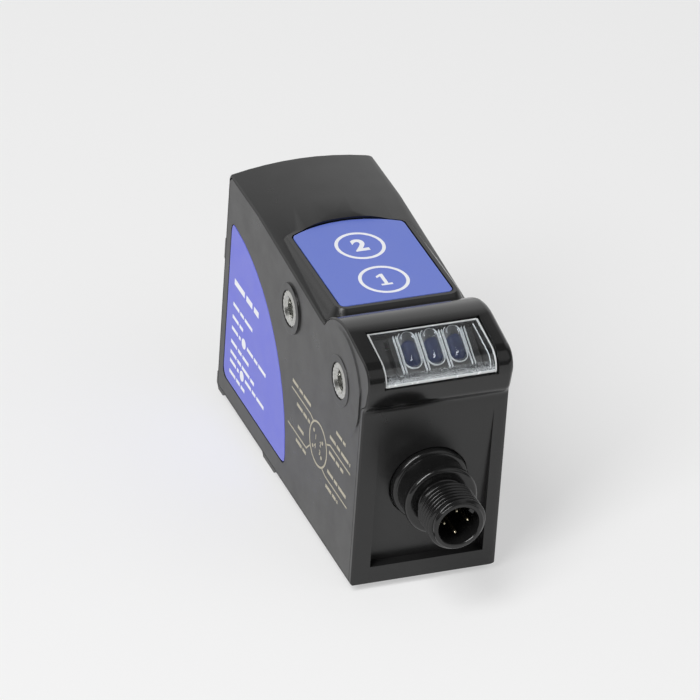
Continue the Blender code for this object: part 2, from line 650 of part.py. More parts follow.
def plug_hole():
    bm = bmesh.new()
    seat = PLUG_FLANGE_DIAMETER / 2 + FIT_GAP
    bore = PLUG_TAIL_DIAMETER / 2 + FIT_GAP
    deep = FRONT_WALL_DEPTH + CUT_THROUGH
    add_turned(bm, [(0.0, -CUT_THROUGH), (seat, -CUT_THROUGH), (seat, PLUG_SEAT_DEPTH), (bore, PLUG_SEAT_DEPTH),
                    (bore, deep), (0.0, deep)], "Y", (0.0, 0.0, PLUG_HEIGHT))
    return bm


def port_profile(inner_end):
    """Turned profile of a lens port's hole: radius and distance outwards from the wall's outer face."""
    seat = PORT_DIAMETER / 2 + PORT_FLANGE_WIDTH + FIT_GAP
    bore = PORT_DIAMETER / 2
    return [(0.0, inner_end), (bore, inner_end), (bore, -PORT_SEAT_DEPTH), (seat, -PORT_SEAT_DEPTH),
            (seat, CUT_THROUGH), (0.0, CUT_THROUGH)]


def port_holes():
    bm = bmesh.new()
    profile = port_profile(-WALL - CUT_THROUGH)
    add_turned(bm, profile, "Y", (0.0, BODY_LENGTH, PORT_HEIGHT))
    add_turned(bm, [(radius, -along) for radius, along in profile], "Z", (0.0, PORT_Y, 0.0))
    return bm


def add_post(bm, axis, centre, low, high, grip):
    """Round post with a blind screw hole in its low end."""
    hole = SCREW_DIAMETER / 2 + FIT_GAP
    outer = POST_DIAMETER / 2
    floor = low + grip
    add_turned(bm, [(hole, low), (outer, low), (outer, high), (0.0, high), (0.0, floor), (hole, floor)], axis,
               centre, SMALL_ROUND_STEPS)


def board_posts():
    """Posts that hold the keypad board under the top and the main board beside the right wall."""
    bm = bmesh.new()
    for y in KEYPAD_POST_PLACES:
        top = side_top(y) - WALL + SINK
        add_post(bm, "Z", (0.0, y, 0.0), KEYPAD_BOARD_TOP + FIT_GAP, top, SCREW_GRIP)
    for y, z in MAIN_POST_PLACES:
        low = MAIN_BOARD_X + BOARD_THICKNESS + FIT_GAP
        add_post(bm, "X", (0.0, y, z), low, HALF_WIDTH - WALL + SINK, MAIN_SCREW_GRIP)
    return bm


def make_housing(materials, origin):
    housing = add_object("housing", housing_body(), materials["housing"], origin)
    steps = (
        ("plateau", keypad_plateau(), "UNION"), ("feet", feet_shape(), "UNION"),
        ("relief_cut", keypad_relief(), "DIFFERENCE"), ("keypad_recess", keypad_recess(), "DIFFERENCE"),
        ("key_holes", key_holes(), "DIFFERENCE"),
        ("cover_pocket", cover_pocket(), "DIFFERENCE"), ("cavity", cavity(), "DIFFERENCE"),
        ("right_bosses", boss_shape(1), "UNION"), ("right_holes", insert_holes(1), "DIFFERENCE"),
        ("posts", board_posts(), "UNION"),
        ("window_slot", window_slot(), "DIFFERENCE"), ("panel_cut", front_panel_cut(), "DIFFERENCE"),
        ("plug_hole", plug_hole(), "DIFFERENCE"), ("port_holes", port_holes(), "DIFFERENCE"),
    )
    for name, shape, operation in steps:
        combine(housing, add_helper(name, shape, origin), operation)
    middle = (0.0, WINDOW_MIDDLE.x, WINDOW_MIDDLE.y)
    chamber = add_helper("chamber", indicator_chamber(), origin, middle, WINDOW_TILT)
    combine(housing, chamber, "DIFFERENCE")


# Side cover


def cover_outline(inset):
    return flat_outline(front=COVER_FRONT_BAND + inset, low=COVER_LOW_BAND + inset,
                        rear=COVER_REAR_BAND + inset, top=COVER_TOP_BAND + inset, nose=COVER_TOP_BAND + inset)


def side_label_outline(grow):
    """Quarter disc whose corner sits at the rear underside, with rounded corners."""
    rear = BODY_LENGTH - SIDE_LABEL_REAR_GAP
    low = SIDE_LABEL_LOW_GAP
    corner = SIDE_LABEL_CORNER
    inner = SIDE_LABEL_RADIUS - corner
    reach = math.sqrt(inner ** 2 - corner ** 2)
    tip = math.asin(corner / inner)
    radius = corner + grow
    points = arc_points((rear - corner, low + corner), radius, -math.pi / 2, 0.0, 3)
    points += arc_points((rear - corner, low + reach), radius, 0.0, math.pi / 2 + tip, 3)
    sweep = SIDE_LABEL_RADIUS + grow
    points += arc_points((rear, low), sweep, math.pi / 2 + 2 * tip, math.pi - 2 * tip, 2 * ARC_STEPS)
    points += arc_points((rear - reach, low + corner), radius, math.pi - tip, 1.5 * math.pi, 3)
    return points


def ear_outline(radius):
    """Disc about the front insert, cut off flat where it would pass the cover's front edge."""
    front = COVER_FRONT_BAND + EAR_MARGIN
    circle = arc_points(NOSE_CENTRE, radius, 0.0, math.tau, ROUND_STEPS)[:-1]
    return [(max(y, front), z) for y, z in circle]


def ear_shape():
    bm = bmesh.new()
    radius = NOSE_RADIUS - COVER_TOP_BAND - EAR_MARGIN
    skins = []
    for x, ear_radius in ((-HALF_WIDTH + SINK, radius), (-HALF_WIDTH, radius),
                          (-HALF_WIDTH - EAR_RISE, radius - 2 * EAR_RISE)):
        skins.append([(x, y, z) for y, z in ear_outline(ear_radius)])
    add_loft(bm, skins)
    return bm


def side_label_cut():
    bm = bmesh.new()
    add_side_prism(bm, side_label_outline(FIT_GAP), -HALF_WIDTH - CUT_THROUGH,
                   -HALF_WIDTH + LABEL_THICKNESS + FIT_GAP)
    return bm


def make_cover(materials, origin):
    bm = bmesh.new()
    edge = LEFT_EDGE_RADIUS
    skins = []
    for x, inset in ((-HALF_WIDTH, edge), (-HALF_WIDTH + edge, 0.0), (-HALF_WIDTH + COVER_THICKNESS, 0.0)):
        skins.append([(x, y, z) for y, z in cover_outline(inset)])
    add_loft(bm, skins)
    cover = add_object("side_cover", bm, materials["housing"], origin)
    combine(cover, add_helper("ear", ear_shape(), origin), "UNION")
    combine(cover, add_helper("left_bosses", boss_shape(-1), origin), "UNION")
    combine(cover, add_helper("left_holes", insert_holes(-1), origin), "DIFFERENCE")
    combine(cover, add_helper("side_label_cut", side_label_cut(), origin), "DIFFERENCE")

    bm = bmesh.new()
    low = -HALF_WIDTH + COVER_THICKNESS + FIT_GAP
    add_side_prism(bm, cover_outline(FIT_GAP), low, low + GASKET_THICKNESS)
    gasket = add_object("cover_gasket", bm, materials["rubber"], origin)
    bm = bmesh.new()
    opening = cover_outline(FIT_GAP + GASKET_WIDTH)
    add_side_prism(bm, opening, low - CUT_THROUGH, low + GASKET_THICKNESS + CUT_THROUGH)
    combine(gasket, add_helper("gasket_cut", bm, origin), "DIFFERENCE")

    bm = bmesh.new()
    add_side_prism(bm, side_label_outline(0.0), -HALF_WIDTH, -HALF_WIDTH + LABEL_THICKNESS)
    add_object("side_label", bm, materials["side_print"], origin)


def make_inserts(materials, origin):
    """Knurled sleeves with a groove round the middle, two in each side."""
    outer = INSERT_DIAMETER / 2
    inner = INSERT_HOLE_DIAMETER / 2
    groove = outer - INSERT_GROOVE_DEPTH
    third = INSERT_LENGTH / 3
    number = 1
    for side in (-1, 1):
        for y in INSERT_PLACES:
            face = side * (HALF_WIDTH + BOSS_RISE)
            profile = [(inner, 0.0), (outer, 0.0), (outer, third), (groove, third), (groove, 2 * third),
                       (outer, 2 * third), (outer, INSERT_LENGTH), (inner, INSERT_LENGTH)]
            bm = bmesh.new()
            add_turned(bm, [(radius, face - side * along) for radius, along in profile], "X",
                       (0.0, y, INSERT_HEIGHT), INNER_ROUND_STEPS)
            add_object(f"threaded_insert_{number}", bm, materials["nickel"], origin)
            number += 1


# Keypad


def make_keypad(materials, origin):
    bm = bmesh.new()
    outline = keypad_outline(0.0)
    add_upright_prism(bm, outline, outline, KEYPAD_HEIGHT - LABEL_THICKNESS, KEYPAD_HEIGHT)
    add_object("keypad_label", bm, materials["keypad_print"], origin)

    for number, y in enumerate(KEY_PLACES, start=1):
        place = (0.0, y, KEYPAD_FLOOR)
        bm = bmesh.new()
        cap = KEY_CAP_DIAMETER / 2
        stem = KEY_STEM_DIAMETER / 2
        rim = KEY_CAP_THICKNESS / 4
        add_turned(bm, [(0.0, 0.0), (cap - rim, 0.0), (cap, -rim), (cap, -KEY_CAP_THICKNESS),
                        (stem, -KEY_CAP_THICKNESS), (stem, -KEY_CAP_THICKNESS - KEY_STEM_LENGTH),
                        (0.0, -KEY_CAP_THICKNESS - KEY_STEM_LENGTH)], "Z", (0.0, 0.0, 0.0), INNER_ROUND_STEPS)
        add_object(f"key_pusher_{number}", bm, materials["key_plastic"], origin, place)
        bm = bmesh.new()
        add_cylinder(bm, PLUNGER_DIAMETER, "Z", (0.0, 0.0, 0.0), PLUNGER_LOW - KEYPAD_FLOOR,
                     PLUNGER_LOW + PLUNGER_LENGTH - KEYPAD_FLOOR, SMALL_ROUND_STEPS)
        add_object(f"switch_plunger_{number}", bm, materials["key_plastic"], origin, place)

        bm = bmesh.new()
        half = SWITCH_SIZE / 2
        add_box(bm, (-half, y - half, SWITCH_TOP - SWITCH_HEIGHT), (half, y + half, SWITCH_TOP))
        switch = add_object(f"key_switch_{number}", bm, materials["switch_plastic"], origin)
        bm = bmesh.new()
        add_cylinder(bm, PLUNGER_DIAMETER + 2 * FIT_GAP, "Z", (0.0, y, 0.0), SWITCH_TOP - SWITCH_RECESS,
                     SWITCH_TOP + CUT_THROUGH, SMALL_ROUND_STEPS)
        combine(switch, add_helper(f"switch_well_{number}", bm, origin), "DIFFERENCE")

    bm = bmesh.new()
    low = KEYPAD_BOARD_TOP - BOARD_THICKNESS
    add_box(bm, (-KEYPAD_BOARD_HALF, KEY_PLACES[0] - KEYPAD_BOARD_OVERHANG, low),
            (KEYPAD_BOARD_HALF, KEY_PLACES[1] + KEYPAD_BOARD_OVERHANG, KEYPAD_BOARD_TOP))
    board = add_object("keypad_board", bm, materials["board"], origin)
    bm = bmesh.new()
    for y in KEYPAD_POST_PLACES:
        add_cylinder(bm, SCREW_DIAMETER + 2 * FIT_GAP, "Z", (0.0, y, 0.0), low - CUT_THROUGH,
                     KEYPAD_BOARD_TOP + CUT_THROUGH, SMALL_ROUND_STEPS)
    combine(board, add_helper("keypad_board_holes", bm, origin), "DIFFERENCE")


def screw_profile(grip):
    """Turned profile of a pan-head screw, its head under zero and its shank above."""
    shank = SCREW_DIAMETER / 2
    head = SCREW_HEAD_DIAMETER / 2
    top = -SCREW_HEAD_HEIGHT
    return [(0.0, grip), (shank, grip), (shank, 0.0), (head, 0.0), (head, top * SCREW_HEAD_CROWN),
            (head * SCREW_HEAD_CROWN, top), (0.0, top)]


def make_screws(materials, origin):
    for number, y in enumerate(KEYPAD_POST_PLACES, start=1):
        bm = bmesh.new()
        add_turned(bm, screw_profile(BOARD_THICKNESS + SCREW_GRIP), "Z", (0.0, 0.0, 0.0), SMALL_ROUND_STEPS)
        place = (0.0, y, KEYPAD_BOARD_TOP - BOARD_THICKNESS - FIT_GAP)
        add_object(f"keypad_screw_{number}", bm, materials["steel"], origin, place)
    for number, (y, z) in enumerate(MAIN_POST_PLACES, start=1):
        bm = bmesh.new()
        profile = screw_profile(BOARD_THICKNESS + MAIN_SCREW_GRIP)
        add_turned(bm, profile, "X", (0.0, 0.0, 0.0), SMALL_ROUND_STEPS)
        add_object(f"board_screw_{number}", bm, materials["steel"], origin, (MAIN_BOARD_X - FIT_GAP, y, z))


# Indicators behind the window


def stadium(width, length, inset):
    radius = width / 2 - inset
    offset = (length - width) / 2
    points = arc_points((0.0, offset), radius, 0.0, math.pi, ARC_STEPS)
    return points + arc_points((0.0, -offset), radius, math.pi, 2 * math.pi, ARC_STEPS)


def light_guide_lenses():
    """Three long domes, each a loft of shrinking stadium outlines that follow a quarter circle."""
    bm = bmesh.new()
    for place in (-GUIDE_PITCH, 0.0, GUIDE_PITCH):
        skins = []
        levels = [(-SINK, 0.0)]
        for step in range(GUIDE_LENS_SKINS):
            angle = step * math.pi / 2 / GUIDE_LENS_SKINS
            share = 1 - math.cos(angle)
            levels.append((GUIDE_LENS_RISE * math.sin(angle), share * GUIDE_LENS_WIDTH / 2))
        for height, inset in levels:
            outline = stadium(GUIDE_LENS_WIDTH, GUIDE_LENS_LENGTH, inset)
            skins.append([(place + x, y, GUIDE_TOP + height) for x, y in outline])
        add_loft(bm, skins)
    return bm


def make_indicators(materials, origin):
    bm = bmesh.new()
    half = WINDOW_WIDTH / 2 - FIT_GAP
    strip = nose_strip(-WINDOW_RECESS, -WINDOW_RECESS - WINDOW_THICKNESS, FIT_GAP)
    add_side_prism(bm, strip, -half, half)
    add_object("indicator_window", bm, materials["clear_plastic"], origin)

    middle = (0.0, WINDOW_MIDDLE.x, WINDOW_MIDDLE.y)
    half_x = GUIDE_PITCH + GUIDE_LENS_WIDTH / 2 + GUIDE_MARGIN
    half_y = GUIDE_BASE_LENGTH / 2
    bm = bmesh.new()
    add_box(bm, (-half_x, -half_y, GUIDE_TOP - GUIDE_BASE_THICKNESS), (half_x, half_y, GUIDE_TOP))
    guide = add_object("light_guide", bm, materials["clear_plastic"], origin, middle, WINDOW_TILT)
    combine(guide, add_helper("guide_lenses", light_guide_lenses(), origin, middle, WINDOW_TILT), "UNION")

    rim_x = WINDOW_WIDTH / 2 - WINDOW_LEDGE - FIT_GAP
    rim_y = WINDOW_CHORD.length / 2 - WINDOW_LEDGE - FIT_GAP
    bm = bmesh.new()
    add_box(bm, (-rim_x, -rim_y, LED_BOARD_TOP + FIT_GAP), (rim_x, rim_y, GUIDE_TOP))
    holder = add_object("light_guide_holder", bm, materials["holder_plastic"], origin, middle, WINDOW_TILT)
    bm = bmesh.new()
    add_box(bm, (-half_x - FIT_GAP, -half_y - FIT_GAP, LED_BOARD_TOP - CUT_THROUGH),
            (half_x + FIT_GAP, half_y + FIT_GAP, GUIDE_TOP + CUT_THROUGH))
    combine(holder, add_helper("holder_opening", bm, origin, middle, WINDOW_TILT), "DIFFERENCE")

    for number, place in enumerate((-GUIDE_PITCH, 0.0, GUIDE_PITCH), start=1):
        bm = bmesh.new()
        low = LED_BOARD_TOP + FIT_GAP
        body = low + LED_HEIGHT * LED_SHOULDER
        base = rounded_rectangle(LED_WIDTH, LED_LENGTH, LED_WIDTH / 8)
        crown = rounded_rectangle(LED_WIDTH * LED_CROWN, LED_LENGTH * LED_CROWN, LED_WIDTH / 8)
        add_loft(bm, [[(x, y, low) for x, y in base], [(x, y, body) for x, y in base],
                      [(x, y, low + LED_HEIGHT) for x, y in crown]])
        place_on_board = (place, WINDOW_MIDDLE.x, WINDOW_MIDDLE.y)
        add_object(f"status_led_{number}", bm, materials["led"], origin, place_on_board, WINDOW_TILT)

    bm = bmesh.new()
    add_box(bm, (-rim_x + FIT_GAP, -half_y, LED_BOARD_LOW), (rim_x - FIT_GAP, half_y, LED_BOARD_TOP))
    add_object("indicator_board", bm, materials["board"], origin, middle, WINDOW_TILT)


# Plug


def plug_shell_shape():
    """M12 plug body turned about Y: flange, neck, collar, groove, threaded end and inner tail."""
    edge = PLUG_EDGE_RADIUS
    flange = PLUG_FLANGE_DIAMETER / 2
    neck = PLUG_NECK_DIAMETER / 2
    collar = PLUG_COLLAR_DIAMETER / 2
    groove = PLUG_GROOVE_DIAMETER / 2
    thread = PLUG_THREAD_DIAMETER / 2
    tail = PLUG_TAIL_DIAMETER / 2
    bore = PLUG_BORE_DIAMETER / 2
    end = PLUG_FLANGE_BACK + PLUG_TAIL_LENGTH
    profile = [(bore, PLUG_TIP + edge), (bore + edge, PLUG_TIP), (thread - PLUG_CHAMFER, PLUG_TIP),
               (thread, PLUG_TIP + PLUG_CHAMFER), (thread, PLUG_THREAD_BACK), (groove, PLUG_THREAD_BACK),
               (groove, PLUG_COLLAR_FRONT), (collar - edge, PLUG_COLLAR_FRONT),
               (collar, PLUG_COLLAR_FRONT + edge), (collar, PLUG_COLLAR_BACK - edge),
               (collar - edge, PLUG_COLLAR_BACK), (neck, PLUG_COLLAR_BACK), (neck, PLUG_SHOULDER),
               (flange - edge, PLUG_SHOULDER), (flange, PLUG_SHOULDER + edge), (flange, PLUG_FLANGE_BACK),
               (tail, PLUG_FLANGE_BACK), (tail, end), (bore, end)]
    bm = bmesh.new()
    add_turned(bm, profile, "Y", (0.0, 0.0, PLUG_HEIGHT), ROUND_STEPS)
    return bm


def plug_key_shape():
    """Coding rib inside the bore, up and to the right as seen from the front."""
    bm = bmesh.new()
    inner = PLUG_BORE_DIAMETER / 2 - PLUG_KEY_HEIGHT
    outer = PLUG_BORE_DIAMETER / 2 + SINK
    turn = Matrix.Translation((0.0, 0.0, PLUG_HEIGHT)) @ Matrix.Rotation(math.pi / 4, 4, "Y")
    add_box(bm, (-PLUG_KEY_WIDTH / 2, PLUG_TIP + 2 * PLUG_EDGE_RADIUS, inner),
            (PLUG_KEY_WIDTH / 2, CARRIER_FACE - FIT_GAP, outer))
    bmesh.ops.transform(bm, matrix=turn, verts=bm.verts[:])
    return bm


def pin_places():
    radius = PIN_CIRCLE_DIAMETER / 2
    return [(radius * math.cos(turn * math.pi / 2), PLUG_HEIGHT + radius * math.sin(turn * math.pi / 2))
            for turn in range(4)]


def drilled_disc(name, diameter, low, high, material, origin):
    bm = bmesh.new()
    add_cylinder(bm, diameter, "Y", (0.0, 0.0, PLUG_HEIGHT), low, high)
    disc = add_object(name, bm, material, origin)
    bm = bmesh.new()
    for x, z in pin_places():
        add_cylinder(bm, PIN_DIAMETER + 2 * FIT_GAP, "Y", (x, 0.0, z), low - CUT_THROUGH, high + CUT_THROUGH,
                     SMALL_ROUND_STEPS)
    combine(disc, add_helper(f"{name}_holes", bm, origin), "DIFFERENCE")


def make_plug(materials, origin):
    shell = add_object("plug_shell", plug_shell_shape(), materials["plug_plastic"], origin)
    combine(shell, add_helper("plug_key", plug_key_shape(), origin), "UNION")
    carrier_back = CARRIER_FACE + CARRIER_LENGTH
    inside = PLUG_BORE_DIAMETER - 2 * FIT_GAP
    drilled_disc("contact_carrier", inside, CARRIER_FACE, carrier_back, materials["holder_plastic"], origin)
    board_low = carrier_back + FIT_GAP
    drilled_disc("plug_board", inside, board_low, board_low + BOARD_THICKNESS, materials["board"], origin)
    for number, (x, z) in enumerate(pin_places(), start=1):
        bm = bmesh.new()
        radius = PIN_DIAMETER / 2
        tip = PLUG_TIP + PIN_SETBACK
        end = carrier_back + PIN_TAIL
        profile = [(0.0, tip), (radius / 2, tip), (radius, tip + radius), (radius, end), (0.0, end)]
        add_turned(bm, profile, "Y", (x, 0.0, z), SMALL_ROUND_STEPS)
        add_object(f"contact_pin_{number}", bm, materials["gold"], origin)
    bm = bmesh.new()
    seal = PLUG_TAIL_DIAMETER + 2 * FIT_GAP
    add_ring(bm, seal, seal + 2 * SEAL_WIDTH, "Y", (0.0, 0.0, PLUG_HEIGHT), PLUG_FLANGE_BACK + FIT_GAP,
             PLUG_FLANGE_BACK + FIT_GAP + SEAL_THICKNESS, INNER_ROUND_STEPS)
    add_object("plug_seal", bm, materials["rubber"], origin)
    bm = bmesh.new()
    low = FRONT_WALL_DEPTH + FIT_GAP
    corner = NUT_WIDTH / 2 / math.cos(math.pi / 6)
    add_cylinder(bm, 2 * corner, "Y", (0.0, 0.0, PLUG_HEIGHT), low, low + NUT_THICKNESS, 6)
    nut = add_object("plug_nut", bm, materials["nickel"], origin)
    bm = bmesh.new()
    add_cylinder(bm, seal, "Y", (0.0, 0.0, PLUG_HEIGHT), low - CUT_THROUGH, low + NUT_THICKNESS + CUT_THROUGH)
    combine(nut, add_helper("nut_bore", bm, origin), "DIFFERENCE")


# Lens ports and optics


def port_seal(name, axis, centre, wall, outward, material, origin):
    inner = PORT_DIAMETER
    low = wall - outward * (PORT_SEAT_DEPTH - FIT_GAP)
    bm = bmesh.new()
    add_ring(bm, inner, inner + 2 * PORT_SEAL_WIDTH, axis, centre, low, low + outward * PORT_SEAL_THICKNESS,
             INNER_ROUND_STEPS)
    add_object(name, bm, material, origin)


def make_lens(materials, origin):
    centre = (0.0, 0.0, PORT_HEIGHT)
    outer = PORT_DIAMETER / 2 - FIT_GAP
    flange = PORT_DIAMETER / 2 + PORT_FLANGE_WIDTH
    bore = outer - BARREL_WALL
    throat = bore - BARREL_WALL
    mouth = BODY_LENGTH + PORT_FLANGE_THICKNESS
    shoulder = mouth - LENS_SETBACK - LENS_EDGE - FIT_GAP
    end = BODY_LENGTH - WALL - BARREL_REACH
    bm = bmesh.new()
    add_turned(bm, [(throat, end), (outer, end), (outer, BODY_LENGTH), (flange, BODY_LENGTH),
                    (flange, mouth - PLUG_EDGE_RADIUS), (flange - PLUG_EDGE_RADIUS, mouth), (bore, mouth),
                    (bore, shoulder), (throat, shoulder)], "Y", centre)
    add_object("lens_barrel", bm, materials["anodised"], origin)

    rim = bore - FIT_GAP
    back = mouth - LENS_SETBACK - LENS_EDGE
    face = mouth - LENS_SETBACK
    clear = rim - RETAINER_WIDTH
    bm = bmesh.new()
    shares = [1 - step / LENS_STEPS for step in range(LENS_STEPS + 1)]
    front = [(clear * share, face + LENS_BULGE * (1 - share ** 2)) for share in shares]
    add_turned(bm, [(0.0, back), (rim, back), (rim, face), *front], "Y", centre, INNER_ROUND_STEPS)
    add_object("objective_lens", bm, materials["glass"], origin)

    low = face + FIT_GAP
    bm = bmesh.new()
    add_ring(bm, 2 * (clear + FIT_GAP), 2 * rim, "Y", centre, low, low + RETAINER_THICKNESS, INNER_ROUND_STEPS)
    add_object("lens_retainer", bm, materials["anodised"], origin)
    port_seal("lens_seal", "Y", centre, BODY_LENGTH, 1, materials["rubber"], origin)


def make_blanking_cap(materials, origin):
    centre = (0.0, PORT_Y, 0.0)
    plug = PORT_DIAMETER / 2 - FIT_GAP
    flange = PORT_DIAMETER / 2 + PORT_FLANGE_WIDTH
    face = -PORT_FLANGE_THICKNESS
    end = WALL + BARREL_REACH
    bm = bmesh.new()
    edge = PLUG_EDGE_RADIUS
    add_turned(bm, [(0.0, face), (flange - edge, face), (flange, face + edge), (flange, 0.0), (plug, 0.0),
                    (plug, end), (0.0, end)], "Z", centre)
    cap = add_object("blanking_cap", bm, materials["plug_plastic"], origin)
    bm = bmesh.new()
    half = CAP_SLOT_WIDTH / 2
    reach = PORT_DIAMETER / 2 - BARREL_WALL
    add_box(bm, (-reach, PORT_Y - half, face - CUT_THROUGH), (reach, PORT_Y + half, face + CAP_SLOT_DEPTH))
    combine(cap, add_helper("cap_slot", bm, origin), "DIFFERENCE")
    port_seal("cap_seal", "Z", centre, 0.0, -1, materials["rubber"], origin)


def optics_bores():
    bm = bmesh.new()
    reach = BARREL_REACH + FIT_GAP
    rear = BODY_LENGTH - WALL
    bore = OPTICS_BORE / 2
    port = PORT_DIAMETER / 2
    front = PORT_Y - OPTICS_FRONT_REACH - CUT_THROUGH
    step = rear - reach
    back = rear + CUT_THROUGH
    add_turned(bm, [(0.0, front), (bore, front), (bore, step), (port, step), (port, back), (0.0, back)], "Y",
               (0.0, 0.0, PORT_HEIGHT), INNER_ROUND_STEPS)
    return bm


def optics_upright_bore():
    bm = bmesh.new()
    reach = WALL + BARREL_REACH + FIT_GAP
    bore = OPTICS_BORE / 2 - FIT_GAP / 2
    port = PORT_DIAMETER / 2
    top = PORT_HEIGHT + OPTICS_TOP_REACH + CUT_THROUGH
    add_turned(bm, [(0.0, 0.0), (port, 0.0), (port, reach), (bore, reach), (bore, top), (0.0, top)], "Z",
               (0.0, PORT_Y, 0.0), INNER_ROUND_STEPS)
    return bm


def make_optics(materials, origin):
    half = PORT_DIAMETER / 2 + BARREL_WALL
    low = (-half, PORT_Y - OPTICS_FRONT_REACH, WALL + FIT_GAP)
    high = (half, BODY_LENGTH - WALL - FIT_GAP, PORT_HEIGHT + OPTICS_TOP_REACH)
    bm = bmesh.new()
    add_box(bm, low, high)
    block = add_object("optics_block", bm, materials["holder_plastic"], origin)
    combine(block, add_helper("optics_bore", optics_bores(), origin), "DIFFERENCE")
    combine(block, add_helper("optics_upright_bore", optics_upright_bore(), origin), "DIFFERENCE")
    middle = (0.0, PORT_Y, PORT_HEIGHT)
    for name, gap in (("splitter_slot", FIT_GAP), ("beam_splitter", 0.0)):
        half_x = SPLITTER_WIDTH / 2 + gap
        half_y = SPLITTER_LENGTH / 2 + gap
        half_z = SPLITTER_THICKNESS / 2 + gap
        bm = bmesh.new()
        add_box(bm, (-half_x, -half_y, -half_z), (half_x, half_y, half_z))
        if gap:
            combine(block, add_helper(name, bm, origin, middle, -math.pi / 4), "DIFFERENCE")
        else:
            add_object(name, bm, materials["glass"], origin, middle, -math.pi / 4)

    body = OPTICS_BORE / 2 - FIT_GAP
    base = EMITTER_BASE_WIDTH / 2
    source_seat = high[2] + FIT_GAP
    sensor_seat = low[1] - FIT_GAP
    for name, axis, centre, seat, inward in (
            ("light_source", "Z", (0.0, PORT_Y, 0.0), source_seat, -1),
            ("receiver", "Y", (0.0, 0.0, PORT_HEIGHT), sensor_seat, 1)):
        bm = bmesh.new()
        radius = body - FIT_GAP
        tip = seat + inward * (FIT_GAP + EMITTER_BODY_HEIGHT)
        back = seat - inward * EMITTER_BASE_THICKNESS
        add_turned(bm, [(0.0, back), (base, back), (base, seat), (radius, seat),
                        (radius, tip - inward * radius / 3), (radius * EMITTER_CROWN, tip), (0.0, tip)], axis,
                   centre, INNER_ROUND_STEPS)
        add_object(name, bm, materials["emitter"], origin)


# Main board


def make_main_board(materials, origin):
    bm = bmesh.new()
    low = (MAIN_BOARD_X, MAIN_BOARD_FRONT, MAIN_BOARD_LOW)
    high = (MAIN_BOARD_X + BOARD_THICKNESS, MAIN_BOARD_FRONT + MAIN_BOARD_LENGTH,
            MAIN_BOARD_LOW + MAIN_BOARD_HEIGHT)
    add_box(bm, low, high)
    board = add_object("main_board", bm, materials["board"], origin)
    bm = bmesh.new()
    for y, z in MAIN_POST_PLACES:
        add_cylinder(bm, SCREW_DIAMETER + 2 * FIT_GAP, "X", (0.0, y, z), low[0] - CUT_THROUGH,
                     high[0] + CUT_THROUGH, SMALL_ROUND_STEPS)
    combine(board, add_helper("main_board_holes", bm, origin), "DIFFERENCE")
    bm = bmesh.new()
    half = PROCESSOR_SIZE / 2
    y = (MAIN_POST_PLACES[0][0] + MAIN_POST_PLACES[1][0]) / 2
    z = MAIN_BOARD_LOW + MAIN_BOARD_HEIGHT / 2
    add_box(bm, (MAIN_BOARD_X - FIT_GAP - PROCESSOR_THICKNESS, y - half, z - half),
            (MAIN_BOARD_X - FIT_GAP, y + half, z + half))
    add_object("processor", bm, materials["chip"], origin)


def make_materials():
    return {
        "housing": make_material("housing_plastic", (0.045, 0.045, 0.047), 0.42),
        "plug_plastic": make_material("plug_plastic", (0.018, 0.018, 0.020), 0.25),
        "holder_plastic": make_material("holder_plastic", (0.012, 0.012, 0.013), 0.5),
        "key_plastic": make_material("key_plastic", (0.55, 0.55, 0.53), 0.4),
        "switch_plastic": make_material("switch_plastic", (0.02, 0.02, 0.02), 0.45),
        "clear_plastic": make_material("clear_plastic", (0.85, 0.88, 0.9), 0.08, alpha=0.35),
        "keypad_print": make_material("keypad_print", (0.14, 0.18, 0.62), 0.4),
        "side_print": make_material("side_print", (0.16, 0.18, 0.66), 0.4),
        "rubber": make_material("seal_rubber", (0.02, 0.02, 0.02), 0.8),
        "nickel": make_material("nickel_plate", (0.62, 0.6, 0.56), 0.28, metallic=1.0),
        "steel": make_material("zinc_steel", (0.6, 0.6, 0.6), 0.35, metallic=1.0),
        "gold": make_material("gold_plate", (0.83, 0.62, 0.28), 0.25, metallic=1.0),
        "anodised": make_material("black_anodised", (0.03, 0.03, 0.032), 0.35, metallic=1.0),
        "glass": make_material("lens_glass", (0.9, 0.93, 0.95), 0.03, alpha=0.35),
        "board": make_material("circuit_board", (0.02, 0.16, 0.07), 0.5),
        "chip": make_material("chip_epoxy", (0.02, 0.02, 0.022), 0.45),
        "led": make_material("led_resin", (0.8, 0.82, 0.75), 0.3),
        "emitter": make_material("diode_can", (0.5, 0.48, 0.42), 0.3, metallic=1.0),
    }


def build():
    clear_scene()
    materials = make_materials()
    origin = make_origin()
    make_housing(materials, origin)
    make_cover(materials, origin)
    make_inserts(materials, origin)
    make_keypad(materials, origin)
    make_screws(materials, origin)
    make_indicators(materials, origin)
    make_plug(materials, origin)
    make_lens(materials, origin)
    make_blanking_cap(materials, origin)
    make_optics(materials, origin)
    make_main_board(materials, origin)


build()
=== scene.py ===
"""Color mark sensor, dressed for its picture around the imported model.

Every visible piece is built at its place in the row frame, in metres, and rides on the model's body.
Places are given in millimetres from the middle of the width, the front wall and the underside of the
housing, as in part.py, and one function turns them into the frame's metres.
"""

